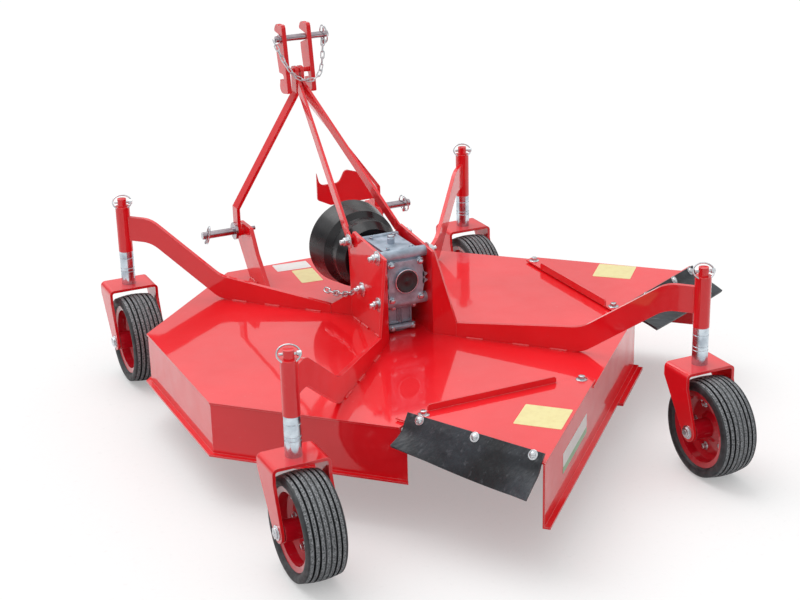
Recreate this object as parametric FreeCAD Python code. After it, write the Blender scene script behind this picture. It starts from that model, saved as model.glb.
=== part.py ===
"""Finishing mower for a three-point linkage: eight-sided deck on four caster wheels.

X points to the right of the machine, Y forwards to the tractor, Z up, in millimetres.
The shapes are drawn about the rotor's axis at ground level, and each is moved at the
end so that the origin is the centre of the machine's footprint.
"""
import FreeCAD
import Part
import math
import os

V = FreeCAD.Vector

# ---- Deck ----
DECK_APOTHEM = 625.0          # rotor axis to each outer wall face
DECK_TOP_Z = 270.0
DECK_SHEET = 5.0
DECK_OVERHANG = 3.0
SKIRT_BOTTOM_Z = 126.0
CHUTE_BOTTOM_Z = 112.0        # chute walls reach lower than the skirt
WALL_T = 5.0
LIP_WIDTH = 14.0
LIP_T = 5.0
SPIGOT_GAP = 2.0              # deck hole round the gearbox spigot
SKID_WIDTH = 26.0
SKID_T = 8.0

# ---- Discharge chutes ----
CHUTE_LENGTH = 470.0          # wall beyond the octagon's corner
COVER_T = 4.0
COVER_RISE = 8.0              # cover's upper face above the deck
COVER_LAP = 50.0              # cover over the deck's edge
COVER_INNER_HALF = 265.0      # half length of the cover's inner edge
COVER_SIDE_LAP = 19.0         # cover along the deck's side past the wall's corner
PAD_INSET = 7.0               # packing under the cover, back from its inner edge
INNER_FLANGE_HEIGHT = 17.0    # cover's inner edge turned up
INNER_FLANGE_LENGTH = 360.0
INNER_FLANGE_CHAMFER = 5.0
MOUTH_X = -251.0              # the mouth's near end, over the deck's corner
MOUTH_Y = -606.0
FLANGE_RISE = 18.0            # cover's outer edge turned up and back
FLANGE_LEAN = 12.0
FLAP_T = 7.0
FLAP_END_GAP = 8.0            # flap and flange end inside the wall's tip
RELIEF_GAP = 3.0              # deck's corner cut back behind the flap
# each rubber flap below its bend line, (outwards, downwards) at its near end, middle and far end
FLAP_CURVES = {
    "rear": (((0, 0), (10, 18), (25, 30), (62, 44)), ((0, 0), (9, 20), (18, 42), (30, 80)),
             ((0, 0), (10, 21), (25, 36), (64, 70))),
    "right": (((0, 0), (16, 12), (52, 22), (92, 36)), ((0, 0), (15, 13), (50, 26), (88, 44)),
              ((0, 0), (16, 12), (52, 23), (92, 42)))}

# ---- Casters ----
SPINDLE_X = 560.0
SPINDLE_Y = 654.0
SPINDLE_R = 13.0
SPINDLE_TOP_Z = 543.0
SPINDLE_FIT = 0.1             # radial clearance in the arm's tube
TUBE_R = 21.0
TUBE_BOTTOM_Z = 383.0
TUBE_TOP_Z = 520.0
SEAT_GAP = 0.3
SPACER_HEIGHTS = (40.0, 10.0, 31.0)
SPACER_R = 20.5
SPACER_GROOVE = 1.2
FORK_TOP_Z = 282.0
FORK_T = 8.0
FORK_INNER = 130.0
FORK_BEND_R = 14.0
FORK_CROWN_DEPTH = 100.0
FORK_EYE_R = 26.0
TRAIL = 63.0

# ---- Wheels ----
TYRE_R = 130.0
TYRE_WIDTH = 104.0
TYRE_BORE_R = 91.0
TYRE_CROWN = 5.0
RIM_R = 101.0
RIM_WIDTH = 84.0
RIM_T = 4.0
HUB_R = 26.0
HUB_END_GAP = 2.5
AXLE_R = 10.0
AXLE_FIT = 0.1
AXLE_HEAD_R = 15.0
AXLE_HEAD_T = 10.0
FORK_FRONT_DROP = 34.0        # crown's square front edge, below the top
FORK_REAR_DROP = 40.0
RIM_FLARE = 14.0              # hub's cone where it meets the disc
RIM_DISH = 16.0               # disc stops this far inside the barrel
HUB_WAIST = 12.0              # half length of the hub's thick middle
WALL_BULGE = 13.0             # tyre's widest place, outside the rim's edge
SHOULDER_DROP = 9.0

# ---- Wheel arms ----
ARM_T = 12.0
ARM_OUTER_TOP_Z = 490.0
ARM_OUTER_DEPTH = 72.0
ARM_BEND_OUT = 92.0           # spindle axis to the upper bend
ARM_BEND_IN = 312.0           # spindle axis to the lower bend
ARM_BEND_R = 90.0
ARM_END_CLEAR = 66.0          # flange length between the arm's end and the side plate
ARM_LOW_HEIGHT = 72.0         # arm above the deck at the lower bend
FRONT_ARM_END_HEIGHT = 26.0
REAR_ARM_END_HEIGHT = 40.0

# ---- Gearbox side plates ----
PLATE_X = 70.0
PLATE_T = 8.0
PLATE_HALF_DEPTH = 115.0
PLATE_TOP_REAR_Z = 506.0
PLATE_TOP_FRONT_Z = 526.0
PLATE_NOSE_Y = 124.0
PLATE_NOSE_Z = 486.0
PLATE_FRONT_LOW_Z = 340.0
REAR_FLANGE_TOP = 5.0         # width of the rear flange at its top

# ---- Gearbox ----
SHAFT_Z = 426.0
BOX_HALF_X = 52.0
BOX_BOTTOM_Z = 365.0
BOX_TOP_Z = 500.0
BOX_REAR_Y = -80.0
BOX_FRONT_Y = 80.0
BOX_EDGE_R = 8.0
COVER_FLANGE_T = 9.0
COVER_POINT = 6.0             # rear cover's side points beyond the box
COVER_LOW_HALF = 42.0         # half height of the rear cover at its shoulders
COVER_HIGH_HALF = 56.0        # half height at its middle
COVER_TOP_HALF_X = 30.0
NECK_R = 39.0
FOOT_R = 52.0
FOOT_T = 18.0
SPIGOT_R = 45.0
SPIGOT_DEPTH = 8.0
LID_T = 6.0
COLLAR_R = 48.0
COLLAR_LENGTH = 22.0
PAD_R = 15.0                  # bars across the box's rear edges, bolted to the side plates
PAD_Y = -72.0
PAD_UPPER_Z = 497.0
PAD_LOWER_Z = 364.0
RIB_T = 10.0
BREATHER_R = 10.0
BREATHER_HEIGHT = 14.0
PLUG_R = 32.0
PLUG_T = 6.0

# ---- Input shaft and its guard ----
INPUT_R = 17.4                # 1 3/8 inch splined shaft
JOURNAL_R = 20.0              # shaft inside the gearbox
INPUT_END_Y = 215.0
INPUT_BORE_DEPTH = 45.0
INPUT_FIT = 0.1
GUARD_RIM_R = 124.0
GUARD_NECK_R = 97.0
GUARD_REAR_R = 82.0
GUARD_SLEEVE_R = 58.0         # rear sleeve, between the side plates
GUARD_PLATE_GAP = 6.0         # guard's wide part ahead of the side plates
GUARD_T = 4.0
GUARD_STEP_Y = 196.0
GUARD_FRONT_Y = 290.0
GUARD_TAPER = 30.0            # length of the cone behind the neck
GUARD_SHOULDER_LENGTH = 16.0
GUARD_FLARE = 12.0            # rim's radius beyond the shoulder's

# ---- Rotor ----
HUB_GAP = 10.0
ROTOR_HUB_R = 48.0
CARRIER_TOP_Z = 168.0
CARRIER_T = 12.0
CARRIER_LENGTH = 700.0
CARRIER_WIDTH = 90.0
BLADE_T = 10.0
BLADE_WIDTH = 70.0
BLADE_ROOT = 235.0
BLADE_TIP = 590.0
BLADE_EDGE_LENGTH = 205.0     # ground edge, from the tip inwards
BLADE_EDGE_WIDTH = 22.0
BLADE_EDGE_T = 2.0
OUTPUT_R = 17.5
OUTPUT_FIT = 0.1
OUTPUT_BORE_DEPTH = 40.0

# ---- Linkage frame ----
PIN_Y = 597.0
PIN_Z = 408.0
PIN_R = 11.0                  # category 1 lower link pin
PIN_TIP = 341.0
PIN_WASHER_R = 26.0
PIN_WASHER_T = 8.0
PIN_NUT_R = 12.0
PIN_NUT_T = 8.0
PIN_THREAD_R = 6.0
PIN_THREAD_END = 175.0        # pin's inner end from the machine's middle
MAST_TOP_Z = 1000.0
MAST_LENGTH = 199.0
MAST_BOTTOM_Z = MAST_TOP_Z - MAST_LENGTH
LEG_OUTER_X = 235.0           # leg's outer face at the lower pin
LEG_WIDTH = 38.0
LEG_T = 10.0
LEG_BEND_Z = 480.0
LEG_HEAD_X = 8.5
LEG_HEAD_Y = 632.0
LEG_HEAD_Z = MAST_BOTTOM_Z - 4.0    # where the leg turns upright between the mast's plates
LEG_TOP_Z = MAST_BOTTOM_Z + 74.0
LEG_TOP_R = 14.0
MAST_Y = 624.0
MAST_GAP = 66.0
MAST_T = 13.0
MAST_DEPTH = 50.0
MAST_LEAN = 30.0              # mast's top ahead of its foot
MAST_BAR_R = 7.0              # bar through the legs' heads
MAST_BAR_Z = MAST_BOTTOM_Z + 61.0
# each mast plate's outline: ahead of its leaning rear edge, and above its foot
MAST_OUTLINE = ((3, 0), (0, 5), (0, 191), (4, 198), (16, 199), (22, 194), (30, 198), (42, 197),
                (54, 190), (62, 179), (61, 170), (62, 131), (63, 118), (61, 89), (56, 52),
                (56, 26), (62, 15), (61, 3), (52, -5), (38, -6), (20, -3))
HOOK_R = 10.0                 # slot low in each plate's front edge
HOOK_AHEAD = 33.0
HOOK_Z = MAST_BOTTOM_Z + 43.0
TOP_PIN_Z = MAST_TOP_Z - 41.0
TOP_PIN_AHEAD = 17.0          # pin ahead of each plate's rear edge
TOP_PIN_R = 9.5               # category 1 top link pin
TOP_PIN_LEFT_X = -62.0
TOP_PIN_RIGHT_X = 104.0
TOP_PIN_COLLAR_R = 13.0
TOP_PIN_COLLAR_T = 5.8
TOP_PIN_FIT = 0.1
TOP_SLOT_RISE = 17.0          # slot's mouth above and below the pin's axis
TOP_SLOT_DROP = 27.0
BRACE_WIDTH = 28.0
BRACE_T = 8.0
BRACE_HEAD = (-5.5, 617.0, MAST_BOTTOM_Z + 25.0)
BRACE_FOOT_Y = 98.0
BRACE_FOOT_Z = 496.0
UPRIGHT_OUTER_X = 215.0
UPRIGHT_T = 12.0
UPRIGHT_TOP_Z = 430.0
UPRIGHT_BOSS_R = 17.0         # boss between the upright and the leg
# upright's side view: (y, z, corner radius)
UPRIGHT_OUTLINE = ((400.0, 270.0, 0.0), (552.0, 270.0, 20.0), (652.0, 380.0, 34.0),
                   (627.0, UPRIGHT_TOP_Z, 18.0), (533.0, UPRIGHT_TOP_Z, 12.0), (488.0, 360.0, 40.0),
                   (410.0, 280.0, 0.0))
REST_Y = 552.0                # rear face
REST_WIDTH = 190.0
REST_LEFT_X = 15.0
REST_T = 6.0
REST_BOTTOM_Z = 455.0
REST_TOP_Z = 560.0
REST_TAB_HEIGHT = 14.0
REST_POST_DEPTH = 40.0
REST_NOTCH_R = 42.0
REST_NOTCH_X = 66.0
REST_NOTCH_DEPTH = 39.0
REST_SHOULDER_DROP = 14.0

AXLE_Z = TYRE_R               # the tyres stand on the ground
HALF_SIDE = DECK_APOTHEM * math.tan(math.pi / 8.0)
DIAG = math.sqrt(0.5)
DECK_UNDER_Z = DECK_TOP_Z - DECK_SHEET
SPINDLES = {"fl": (-SPINDLE_X, SPINDLE_Y), "fr": (SPINDLE_X, SPINDLE_Y),
            "rl": (-SPINDLE_X, -SPINDLE_Y), "rr": (SPINDLE_X, -SPINDLE_Y)}


# ---- Small shape tools ----
def prism(points, direction):
    """Solid swept from a closed outline of (x, y, z) points along a direction."""
    loop = [V(*p) for p in points]
    face = Part.Face(Part.makePolygon(loop + loop[:1]))
    return face.extrude(V(*direction))


def slab(points, z_low, z_high):
    """Upright solid over a closed plan outline."""
    return prism([(x, y, z_low) for x, y in points], (0, 0, z_high - z_low))


def rod(start, end, radius):
    """Round bar from one point to another."""
    a = V(*start)
    run = V(*end).sub(a)
    return Part.makeCylinder(radius, run.Length, a, run)


def block(x0, x1, y0, y1, z0, z1):
    """Box between two corners."""
    return Part.makeBox(x1 - x0, y1 - y0, z1 - z0, V(x0, y0, z0))


def join(shapes):
    """One solid from overlapping or touching ones."""
    first = shapes[0]
    return first.fuse(list(shapes[1:])).removeSplitter() if len(shapes) > 1 else first


def turned(shape, degrees):
    """Copy turned about the rotor's axis."""
    copy = shape.copy()
    copy.rotate(V(0, 0, 0), V(0, 0, 1), degrees)
    return copy


def mirrored(shape):
    """Copy mirrored left to right."""
    return shape.mirror(V(0, 0, 0), V(1, 0, 0))


def rounded_corner(before, here, after, radius):
    """Arc at a corner between two unit directions, as (start, arc or None, end)."""
    if radius <= 0.0:
        return here, None, here
    half = before.getAngle(after) / 2.0
    reach = radius / math.tan(half)
    centre = here + (before + after).normalize() * (radius / math.sin(half))
    top = centre + (here - centre).normalize() * radius
    start, end = here + before * reach, here + after * reach
    return start, Part.Arc(start, top, end).toShape(), end


def rounded_outline(corners):
    """Closed wire in the XZ plane through (x, z, radius) corners, each rounded."""
    count = len(corners)
    points = [V(x, 0, z) for x, z, radius in corners]
    turns = []
    for i, (x, z, radius) in enumerate(corners):
        before = (points[i - 1] - points[i]).normalize()
        after = (points[(i + 1) % count] - points[i]).normalize()
        turns.append(rounded_corner(before, points[i], after, radius))
    wire = []
    for i, (start, arc, end) in enumerate(turns):
        if arc is not None:
            wire.append(arc)
        following = turns[(i + 1) % count][0]
        if end.distanceToPoint(following) > 1e-6:
            wire.append(Part.LineSegment(end, following).toShape())
    return Part.Wire(wire)


def plate_along(corners, start, heading, thickness):
    """Upright plate: its XZ outline laid from a plan point along a plan heading (degrees)."""
    face = Part.Face(rounded_outline(corners))
    solid = face.extrude(V(0, thickness, 0))
    solid.translate(V(0, -thickness / 2.0, 0))
    solid.rotate(V(0, 0, 0), V(0, 0, 1), heading)
    solid.translate(V(start[0], start[1], 0))
    return solid


def bar(start, end, width, thickness, face_normal):
    """Flat bar between two points, its wide side square to face_normal."""
    a = V(*start)
    run = V(*end) - a
    side = run.cross(V(*face_normal)).normalize() * width
    lift = side.cross(run).normalize() * thickness
    corner = a - side * 0.5 - lift * 0.5
    loop = [corner, corner + side, corner + side + lift, corner + lift]
    return Part.Face(Part.makePolygon(loop + loop[:1])).extrude(run)


def spin(profile, centre, axis):
    """Solid of revolution: (radius, height) corners turned about an axis."""
    loop = [V(r, 0, h) for r, h in profile]
    face = Part.Face(Part.makePolygon(loop + loop[:1]))
    solid = face.revolve(V(0, 0, 0), V(0, 0, 1), 360)
    solid.Placement = FreeCAD.Placement(V(*centre), FreeCAD.Rotation(V(0, 0, 1), V(*axis)))
    return solid


# ---- Deck ----
def octagon(apothem):
    """Plan corners of the deck's regular octagon, anticlockwise from the rear left end."""
    half = apothem * math.tan(math.pi / 8.0)
    return [(-half, -apothem), (half, -apothem), (apothem, -half), (apothem, half),
            (half, apothem), (-half, apothem), (-apothem, half), (-apothem, -half)]


def chute_tip():
    """Plan point where the rear chute's wall ends."""
    return (HALF_SIDE - CHUTE_LENGTH * DIAG, -DECK_APOTHEM - CHUTE_LENGTH * DIAG)


def deck_top():
    """Octagonal top sheet with a hole for the gearbox spigot."""
    sheet = slab(octagon(DECK_APOTHEM + DECK_OVERHANG), DECK_UNDER_Z, DECK_TOP_Z)
    hole = rod((0, 0, DECK_UNDER_Z - 1), (0, 0, DECK_TOP_Z + 1), SPIGOT_R + SPIGOT_GAP)
    return sheet.cut(hole)


def skirt():
    """Wall along the five closed sides, with an outward lip at the bottom."""
    order = (0, 7, 6, 5, 4)
    outer = octagon(DECK_APOTHEM)
    inner = octagon(DECK_APOTHEM - WALL_T)
    lip = octagon(DECK_APOTHEM + LIP_WIDTH)
    wall_loop = [outer[i] for i in order] + [inner[i] for i in reversed(order)]
    lip_loop = [lip[i] for i in order] + [inner[i] for i in reversed(order)]
    wall = slab(wall_loop, SKIRT_BOTTOM_Z, DECK_UNDER_Z)
    return join([wall, slab(lip_loop, SKIRT_BOTTOM_Z, SKIRT_BOTTOM_Z + LIP_T)])


def offset_strip(start, end, inward, outward, z_low, z_high):
    """Straight upright strip about a plan line; outward is to the right of its run."""
    dx, dy = end[0] - start[0], end[1] - start[1]
    length = math.hypot(dx, dy)
    nx, ny = dy / length, -dx / length
    plan = [(start[0] - nx * inward, start[1] - ny * inward),
            (start[0] + nx * outward, start[1] + ny * outward),
            (end[0] + nx * outward, end[1] + ny * outward),
            (end[0] - nx * inward, end[1] - ny * inward)]
    return slab(plan, z_low, z_high)


def chute_wall():
    """Rear chute's wall: the rear right side of the octagon carried straight on."""
    corners = octagon(DECK_APOTHEM)
    start, corner, tip = corners[2], corners[1], chute_tip()
    cover_top = DECK_TOP_Z + COVER_RISE
    whole = offset_strip(tip, start, WALL_T, 0.0, CHUTE_BOTTOM_Z, DECK_UNDER_Z)
    raised = offset_strip(tip, corner, WALL_T, 0.0, DECK_UNDER_Z, cover_top - COVER_T)
    raised = raised.cut(slab(octagon(DECK_APOTHEM + DECK_OVERHANG), DECK_UNDER_Z, cover_top))
    lip = offset_strip(tip, start, WALL_T, LIP_WIDTH, CHUTE_BOTTOM_Z, CHUTE_BOTTOM_Z + LIP_T)
    return join([whole, raised, lip])


def skid():
    """Flat wear strip welded under the lip of the rear right wall."""
    corners = octagon(DECK_APOTHEM)
    start, corner = corners[2], corners[1]
    middle = ((start[0] + corner[0]) / 2.0, (start[1] + corner[1]) / 2.0)
    strip = offset_strip(middle, start, WALL_T, SKID_WIDTH, CHUTE_BOTTOM_Z - SKID_T, CHUTE_BOTTOM_Z)
    return strip


def mouth_point(along, out, height):
    """Point along the rear mouth from its near end, outwards, and above the cover's upper face."""
    c = chute_tip()
    ux, uy = (c[0] - MOUTH_X) / mouth_length(), (c[1] - MOUTH_Y) / mouth_length()
    return V(MOUTH_X + ux * along + uy * out, MOUTH_Y + uy * along - ux * out,
             DECK_TOP_Z + COVER_RISE + height)


def mouth_length():
    """From the mouth's near end to the tip of the chute's wall."""
    c = chute_tip()
    return math.hypot(c[0] - MOUTH_X, c[1] - MOUTH_Y)


def chute_cover():
    """Bolted cover of the rear chute: sheet with its edges turned up, on a packing strip."""
    inner_y = -DECK_APOTHEM + COVER_LAP
    side = (HALF_SIDE + COVER_SIDE_LAP, -DECK_APOTHEM + COVER_SIDE_LAP)
    top = DECK_TOP_Z + COVER_RISE
    under = top - COVER_T
    outline = [(-COVER_INNER_HALF, inner_y), (MOUTH_X, MOUTH_Y), chute_tip(), side,
               (COVER_INNER_HALF, inner_y)]
    pad_y = inner_y - PAD_INSET
    pad_near = mouth_point(PAD_INSET, 0.0, 0.0)
    pad = [(-COVER_INNER_HALF, pad_y), (MOUTH_X, MOUTH_Y), (pad_near.x, pad_near.y),
           (HALF_SIDE, -DECK_APOTHEM), side, (COVER_INNER_HALF, pad_y)]
    return join([slab(outline, under, top), slab(pad, DECK_TOP_Z, under),
                 inner_flange(inner_y, under), outer_flange()])


def inner_flange(y, under):
    """Cover's inner edge turned up, with a small chamfer at each end."""
    half = INNER_FLANGE_LENGTH / 2.0
    high = under + COVER_T + INNER_FLANGE_HEIGHT
    cut = INNER_FLANGE_CHAMFER
    side = [(-half, under), (half, under), (half, high - cut), (half - cut, high),
            (cut - half, high), (-half, high - cut)]
    return prism([(x, y, z) for x, z in side], (0, -COVER_T, 0))


def outer_flange():
    """Cover's outer edge, turned up and back to carry the flap."""
    section = ((0.0, 0.0), (-FLANGE_LEAN, FLANGE_RISE), (-FLANGE_LEAN - COVER_T, FLANGE_RISE),
               (-COVER_T, 0.0), (-COVER_T, -COVER_T), (0.0, -COVER_T))
    loop = [mouth_point(0.0, out, height) for out, height in section]
    face = Part.Face(Part.makePolygon(loop + loop[:1]))
    return face.extrude(mouth_point(mouth_length() - FLAP_END_GAP, 0, 0) - mouth_point(0, 0, 0))


def flap_layers(curve):
    """The flap's inner and outer (out, height) points below its bend line."""
    slope = math.hypot(FLANGE_LEAN, FLANGE_RISE)
    across = (FLANGE_RISE / slope * FLAP_T, FLANGE_LEAN / slope * FLAP_T)
    inner = [(out, -down) for out, down in curve]
    last, before = inner[-1], inner[-2]
    run = math.hypot(last[0] - before[0], last[1] - before[1])
    end_across = ((before[1] - last[1]) / run * FLAP_T, (last[0] - before[0]) / run * FLAP_T)
    outer = []
    for i, (out, height) in enumerate(inner):
        share = i / (len(inner) - 1.0)
        outer.append((out + across[0] + (end_across[0] - across[0]) * share,
                      height + across[1] + (end_across[1] - across[1]) * share))
    return inner, outer, across


def smooth_curve(points, start, finish):
    """Smooth edge through points, with its directions at both ends."""
    curve = Part.BSplineCurve()
    curve.interpolate(Points=points, InitialTangent=start, FinalTangent=finish)
    return curve.toShape()


def flap_section(along, curve):
    """Closed wire of the flap at one place along the mouth, for its curve below the bend line."""
    inner, outer, across = flap_layers(curve)
    down = mouth_point(along, FLANGE_LEAN, -FLANGE_RISE) - mouth_point(along, 0, 0)
    inner_at = [mouth_point(along, *p) for p in inner]
    outer_at = [mouth_point(along, *p) for p in outer]
    top_at = mouth_point(along, -FLANGE_LEAN, FLANGE_RISE)
    top_outer_at = mouth_point(along, across[0] - FLANGE_LEAN, across[1] + FLANGE_RISE)
    facing = smooth_curve(inner_at, down, inner_at[-1] - inner_at[-2])
    away = smooth_curve(outer_at[::-1], outer_at[-2] - outer_at[-1], down * -1.0)
    return Part.Wire([Part.makeLine(top_at, inner_at[0]), facing,
                      Part.makeLine(inner_at[-1], outer_at[-1]), away,
                      Part.makeLine(outer_at[0], top_outer_at), Part.makeLine(top_outer_at, top_at)])


def flap(curves):
    """Rubber flap on the cover's outer flange, its lower corners curled outwards."""
    end = mouth_length() - FLAP_END_GAP
    solid = Part.makeLoft([flap_section(along, curve) for along, curve in
                           zip((0.0, end / 2.0, end), curves)], True, False)
    if solid.Volume < 0:
        solid.reverse()
    return solid


def flap_relief(curve):
    """Cutter that clears the deck's corner behind the flap's near end."""
    path = [(out - RELIEF_GAP, -down) for out, down in curve]
    reach = path[-1][0]
    section = [(path[0][0], COVER_RISE)] + path + [(reach, COVER_RISE)]
    loop = [mouth_point(-RELIEF_GAP, out, height) for out, height in section]
    face = Part.Face(Part.makePolygon(loop + loop[:1]))
    return face.extrude(mouth_point(reach, 0, 0) - mouth_point(-RELIEF_GAP, 0, 0))


# ---- Wheel arms ----
def arm_heading(corner):
    """Plan direction in degrees, and length, from a spindle to its side plate bend."""
    sx, sy = SPINDLES[corner]
    bx = math.copysign(PLATE_X, sx)
    by = math.copysign(PLATE_HALF_DEPTH, sy)
    return math.degrees(math.atan2(by - sy, bx - sx)), math.hypot(bx - sx, by - sy)


def arm_end_height(corner):
    """Height of an arm above the deck at its inner end."""
    return FRONT_ARM_END_HEIGHT if corner[0] == "f" else REAR_ARM_END_HEIGHT


def wheel_arm(corner):
    """Plate on edge from the deck up to the spindle tube, with the tube."""
    heading, length = arm_heading(corner)
    end = length - ARM_END_CLEAR
    low_top = DECK_TOP_Z + ARM_LOW_HEIGHT
    end_top = DECK_TOP_Z + arm_end_height(corner)
    outer_low = ARM_OUTER_TOP_Z - ARM_OUTER_DEPTH
    outline = [(0.0, ARM_OUTER_TOP_Z, 0.0), (ARM_BEND_OUT, ARM_OUTER_TOP_Z, ARM_BEND_R),
               (ARM_BEND_IN, low_top, ARM_BEND_R), (end, end_top, 6.0), (end, DECK_TOP_Z, 0.0),
               (ARM_BEND_IN, DECK_TOP_Z, ARM_BEND_R), (ARM_BEND_OUT, outer_low, ARM_BEND_R),
               (0.0, outer_low, 0.0)]
    plate = plate_along(outline, SPINDLES[corner], heading, ARM_T)
    x, y = SPINDLES[corner]
    tube = rod((x, y, TUBE_BOTTOM_Z), (x, y, TUBE_TOP_Z), TUBE_R)
    bore = rod((x, y, TUBE_BOTTOM_Z - 1), (x, y, TUBE_TOP_Z + 1), SPINDLE_R + SPINDLE_FIT)
    return join([plate, tube]).cut(bore)


# ---- Gearbox side plates ----
def side_plate():
    """Left side plate: panel with a triangular rear flange and a low front flange."""
    panel = [(-PLATE_X - PLATE_T / 2.0, y, z) for y, z in
             ((-PLATE_HALF_DEPTH, DECK_TOP_Z), (PLATE_HALF_DEPTH, DECK_TOP_Z),
              (PLATE_HALF_DEPTH, PLATE_FRONT_LOW_Z), (PLATE_NOSE_Y, PLATE_NOSE_Z),
              (PLATE_NOSE_Y - 38.0, PLATE_TOP_FRONT_Z), (-PLATE_HALF_DEPTH, PLATE_TOP_REAR_Z))]
    pieces = [prism(panel, (PLATE_T, 0, 0))]
    for corner, top_z, top_width in (("rl", PLATE_TOP_REAR_Z, REAR_FLANGE_TOP),
                                     ("fl", PLATE_FRONT_LOW_Z, 0.0)):
        heading, length = arm_heading(corner)
        bend = (-PLATE_X, math.copysign(PLATE_HALF_DEPTH, SPINDLES[corner][1]))
        end_z = DECK_TOP_Z + arm_end_height(corner)
        outline = [(0.0, DECK_TOP_Z, 0.0), (ARM_END_CLEAR, DECK_TOP_Z, 0.0), (ARM_END_CLEAR, end_z, 0.0)]
        if top_width > 0.0:
            outline.append((top_width, top_z, 0.0))
        outline.append((0.0, top_z, 0.0))
        pieces.append(plate_along(outline, bend, heading + 180.0, PLATE_T))
        pieces.append(rod((bend[0], bend[1], DECK_TOP_Z), (bend[0], bend[1], top_z), PLATE_T / 2.0))
    return join(pieces)


# ---- Gearbox ----
def casting():
    """Gearbox body: box on a ribbed neck and foot, with collar, lid and breather."""
    box = block(-BOX_HALF_X, BOX_HALF_X, BOX_REAR_Y, BOX_FRONT_Y, BOX_BOTTOM_Z, BOX_TOP_Z)
    box = box.makeFillet(BOX_EDGE_R, box.Edges)
    foot_top = DECK_TOP_Z + FOOT_T
    neck_top = BOX_BOTTOM_Z + BOX_EDGE_R
    inset = BOX_EDGE_R / 2.0
    pieces = [box,
              rod((0, 0, foot_top - 1), (0, 0, neck_top), NECK_R),
              rod((0, 0, DECK_TOP_Z), (0, 0, foot_top), FOOT_R),
              rod((0, 0, DECK_TOP_Z - SPIGOT_DEPTH), (0, 0, DECK_TOP_Z), SPIGOT_R),
              rod((0, 0, BOX_BOTTOM_Z - LID_T * 2), (0, 0, neck_top), NECK_R + inset),
              block(inset - BOX_HALF_X, BOX_HALF_X - inset, BOX_REAR_Y + inset, BOX_FRONT_Y - inset,
                    BOX_TOP_Z - 1, BOX_TOP_Z + LID_T),
              rod((0, BOX_FRONT_Y - 1, SHAFT_Z), (0, BOX_FRONT_Y + COLLAR_LENGTH, SHAFT_Z), COLLAR_R),
              rod((0, 0, BOX_TOP_Z), (0, 0, BOX_TOP_Z + LID_T + BREATHER_HEIGHT), BREATHER_R)]
    for angle in (0, 60, 120, 180, 240, 300):
        rib = block(-RIB_T / 2.0, RIB_T / 2.0, NECK_R - 4, FOOT_R - 4, foot_top - 1, neck_top)
        pieces.append(turned(rib, angle))
    inner_face = PLATE_X - PLATE_T / 2.0
    for z in (PAD_UPPER_Z, PAD_LOWER_Z):
        pieces.append(rod((-inner_face, PAD_Y, z), (inner_face, PAD_Y, z), PAD_R))
    return join(pieces)


def rear_cover():
    """Pointed cover on the gearbox's rear face, with a round plug in its middle."""
    wide = BOX_HALF_X - 2.0
    right = [(COVER_TOP_HALF_X, -COVER_HIGH_HALF), (wide, -COVER_LOW_HALF),
             (BOX_HALF_X + COVER_POINT, 0.0), (wide, COVER_LOW_HALF),
             (COVER_TOP_HALF_X, COVER_HIGH_HALF)]
    outline = right + [(-x, z) for x, z in reversed(right)]
    plate = prism([(x, BOX_REAR_Y + 1, SHAFT_Z + z) for x, z in outline], (0, -COVER_FLANGE_T - 1, 0))
    face_y = BOX_REAR_Y - COVER_FLANGE_T
    return join([plate, rod((0, face_y + 1, SHAFT_Z), (0, face_y - PLUG_T, SHAFT_Z), PLUG_R)])


def gearbox():
    """Cast right-angle gearbox, bored for the input shaft and the rotor's shaft."""
    body = join([casting(), rear_cover()])
    front = BOX_FRONT_Y + COLLAR_LENGTH
    input_bore = rod((0, front - INPUT_BORE_DEPTH, SHAFT_Z), (0, front + 1, SHAFT_Z),
                     JOURNAL_R + INPUT_FIT)
    low = DECK_TOP_Z - SPIGOT_DEPTH
    output_bore = rod((0, 0, low - 1), (0, 0, low + OUTPUT_BORE_DEPTH), OUTPUT_R + OUTPUT_FIT)
    return body.cut(input_bore).cut(output_bore)


def input_shaft():
    """Stub shaft that a tractor's drive shaft slides onto."""
    front = BOX_FRONT_Y + COLLAR_LENGTH
    journal = rod((0, front - INPUT_BORE_DEPTH + 1, SHAFT_Z), (0, front, SHAFT_Z), JOURNAL_R)
    return join([journal, rod((0, front - 1, SHAFT_Z), (0, INPUT_END_Y, SHAFT_Z), INPUT_R)])


def guard():
    """Stepped bell-shaped guard round the input shaft, open at the front."""
    bell = PLATE_NOSE_Y + GUARD_PLATE_GAP - BOX_FRONT_Y
    neck = bell + GUARD_TAPER
    step = GUARD_STEP_Y - BOX_FRONT_Y
    shoulder = step + GUARD_SHOULDER_LENGTH
    front = GUARD_FRONT_Y - BOX_FRONT_Y
    outside = [(GUARD_SLEEVE_R, 0.0), (GUARD_SLEEVE_R, bell), (GUARD_REAR_R, bell),
               (GUARD_NECK_R, neck), (GUARD_NECK_R, step), (GUARD_RIM_R - GUARD_FLARE, shoulder),
               (GUARD_RIM_R, front)]
    inside = [(GUARD_RIM_R - GUARD_T, front),
              (GUARD_RIM_R - GUARD_FLARE - GUARD_T, shoulder + GUARD_T),
              (GUARD_NECK_R - GUARD_T, step + GUARD_T), (GUARD_NECK_R - GUARD_T, neck),
              (GUARD_REAR_R - GUARD_T, bell + GUARD_T), (COLLAR_R, bell + GUARD_T), (COLLAR_R, 0.0)]
    return spin(outside + inside, (0, BOX_FRONT_Y, SHAFT_Z), (0, 1, 0))


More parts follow.
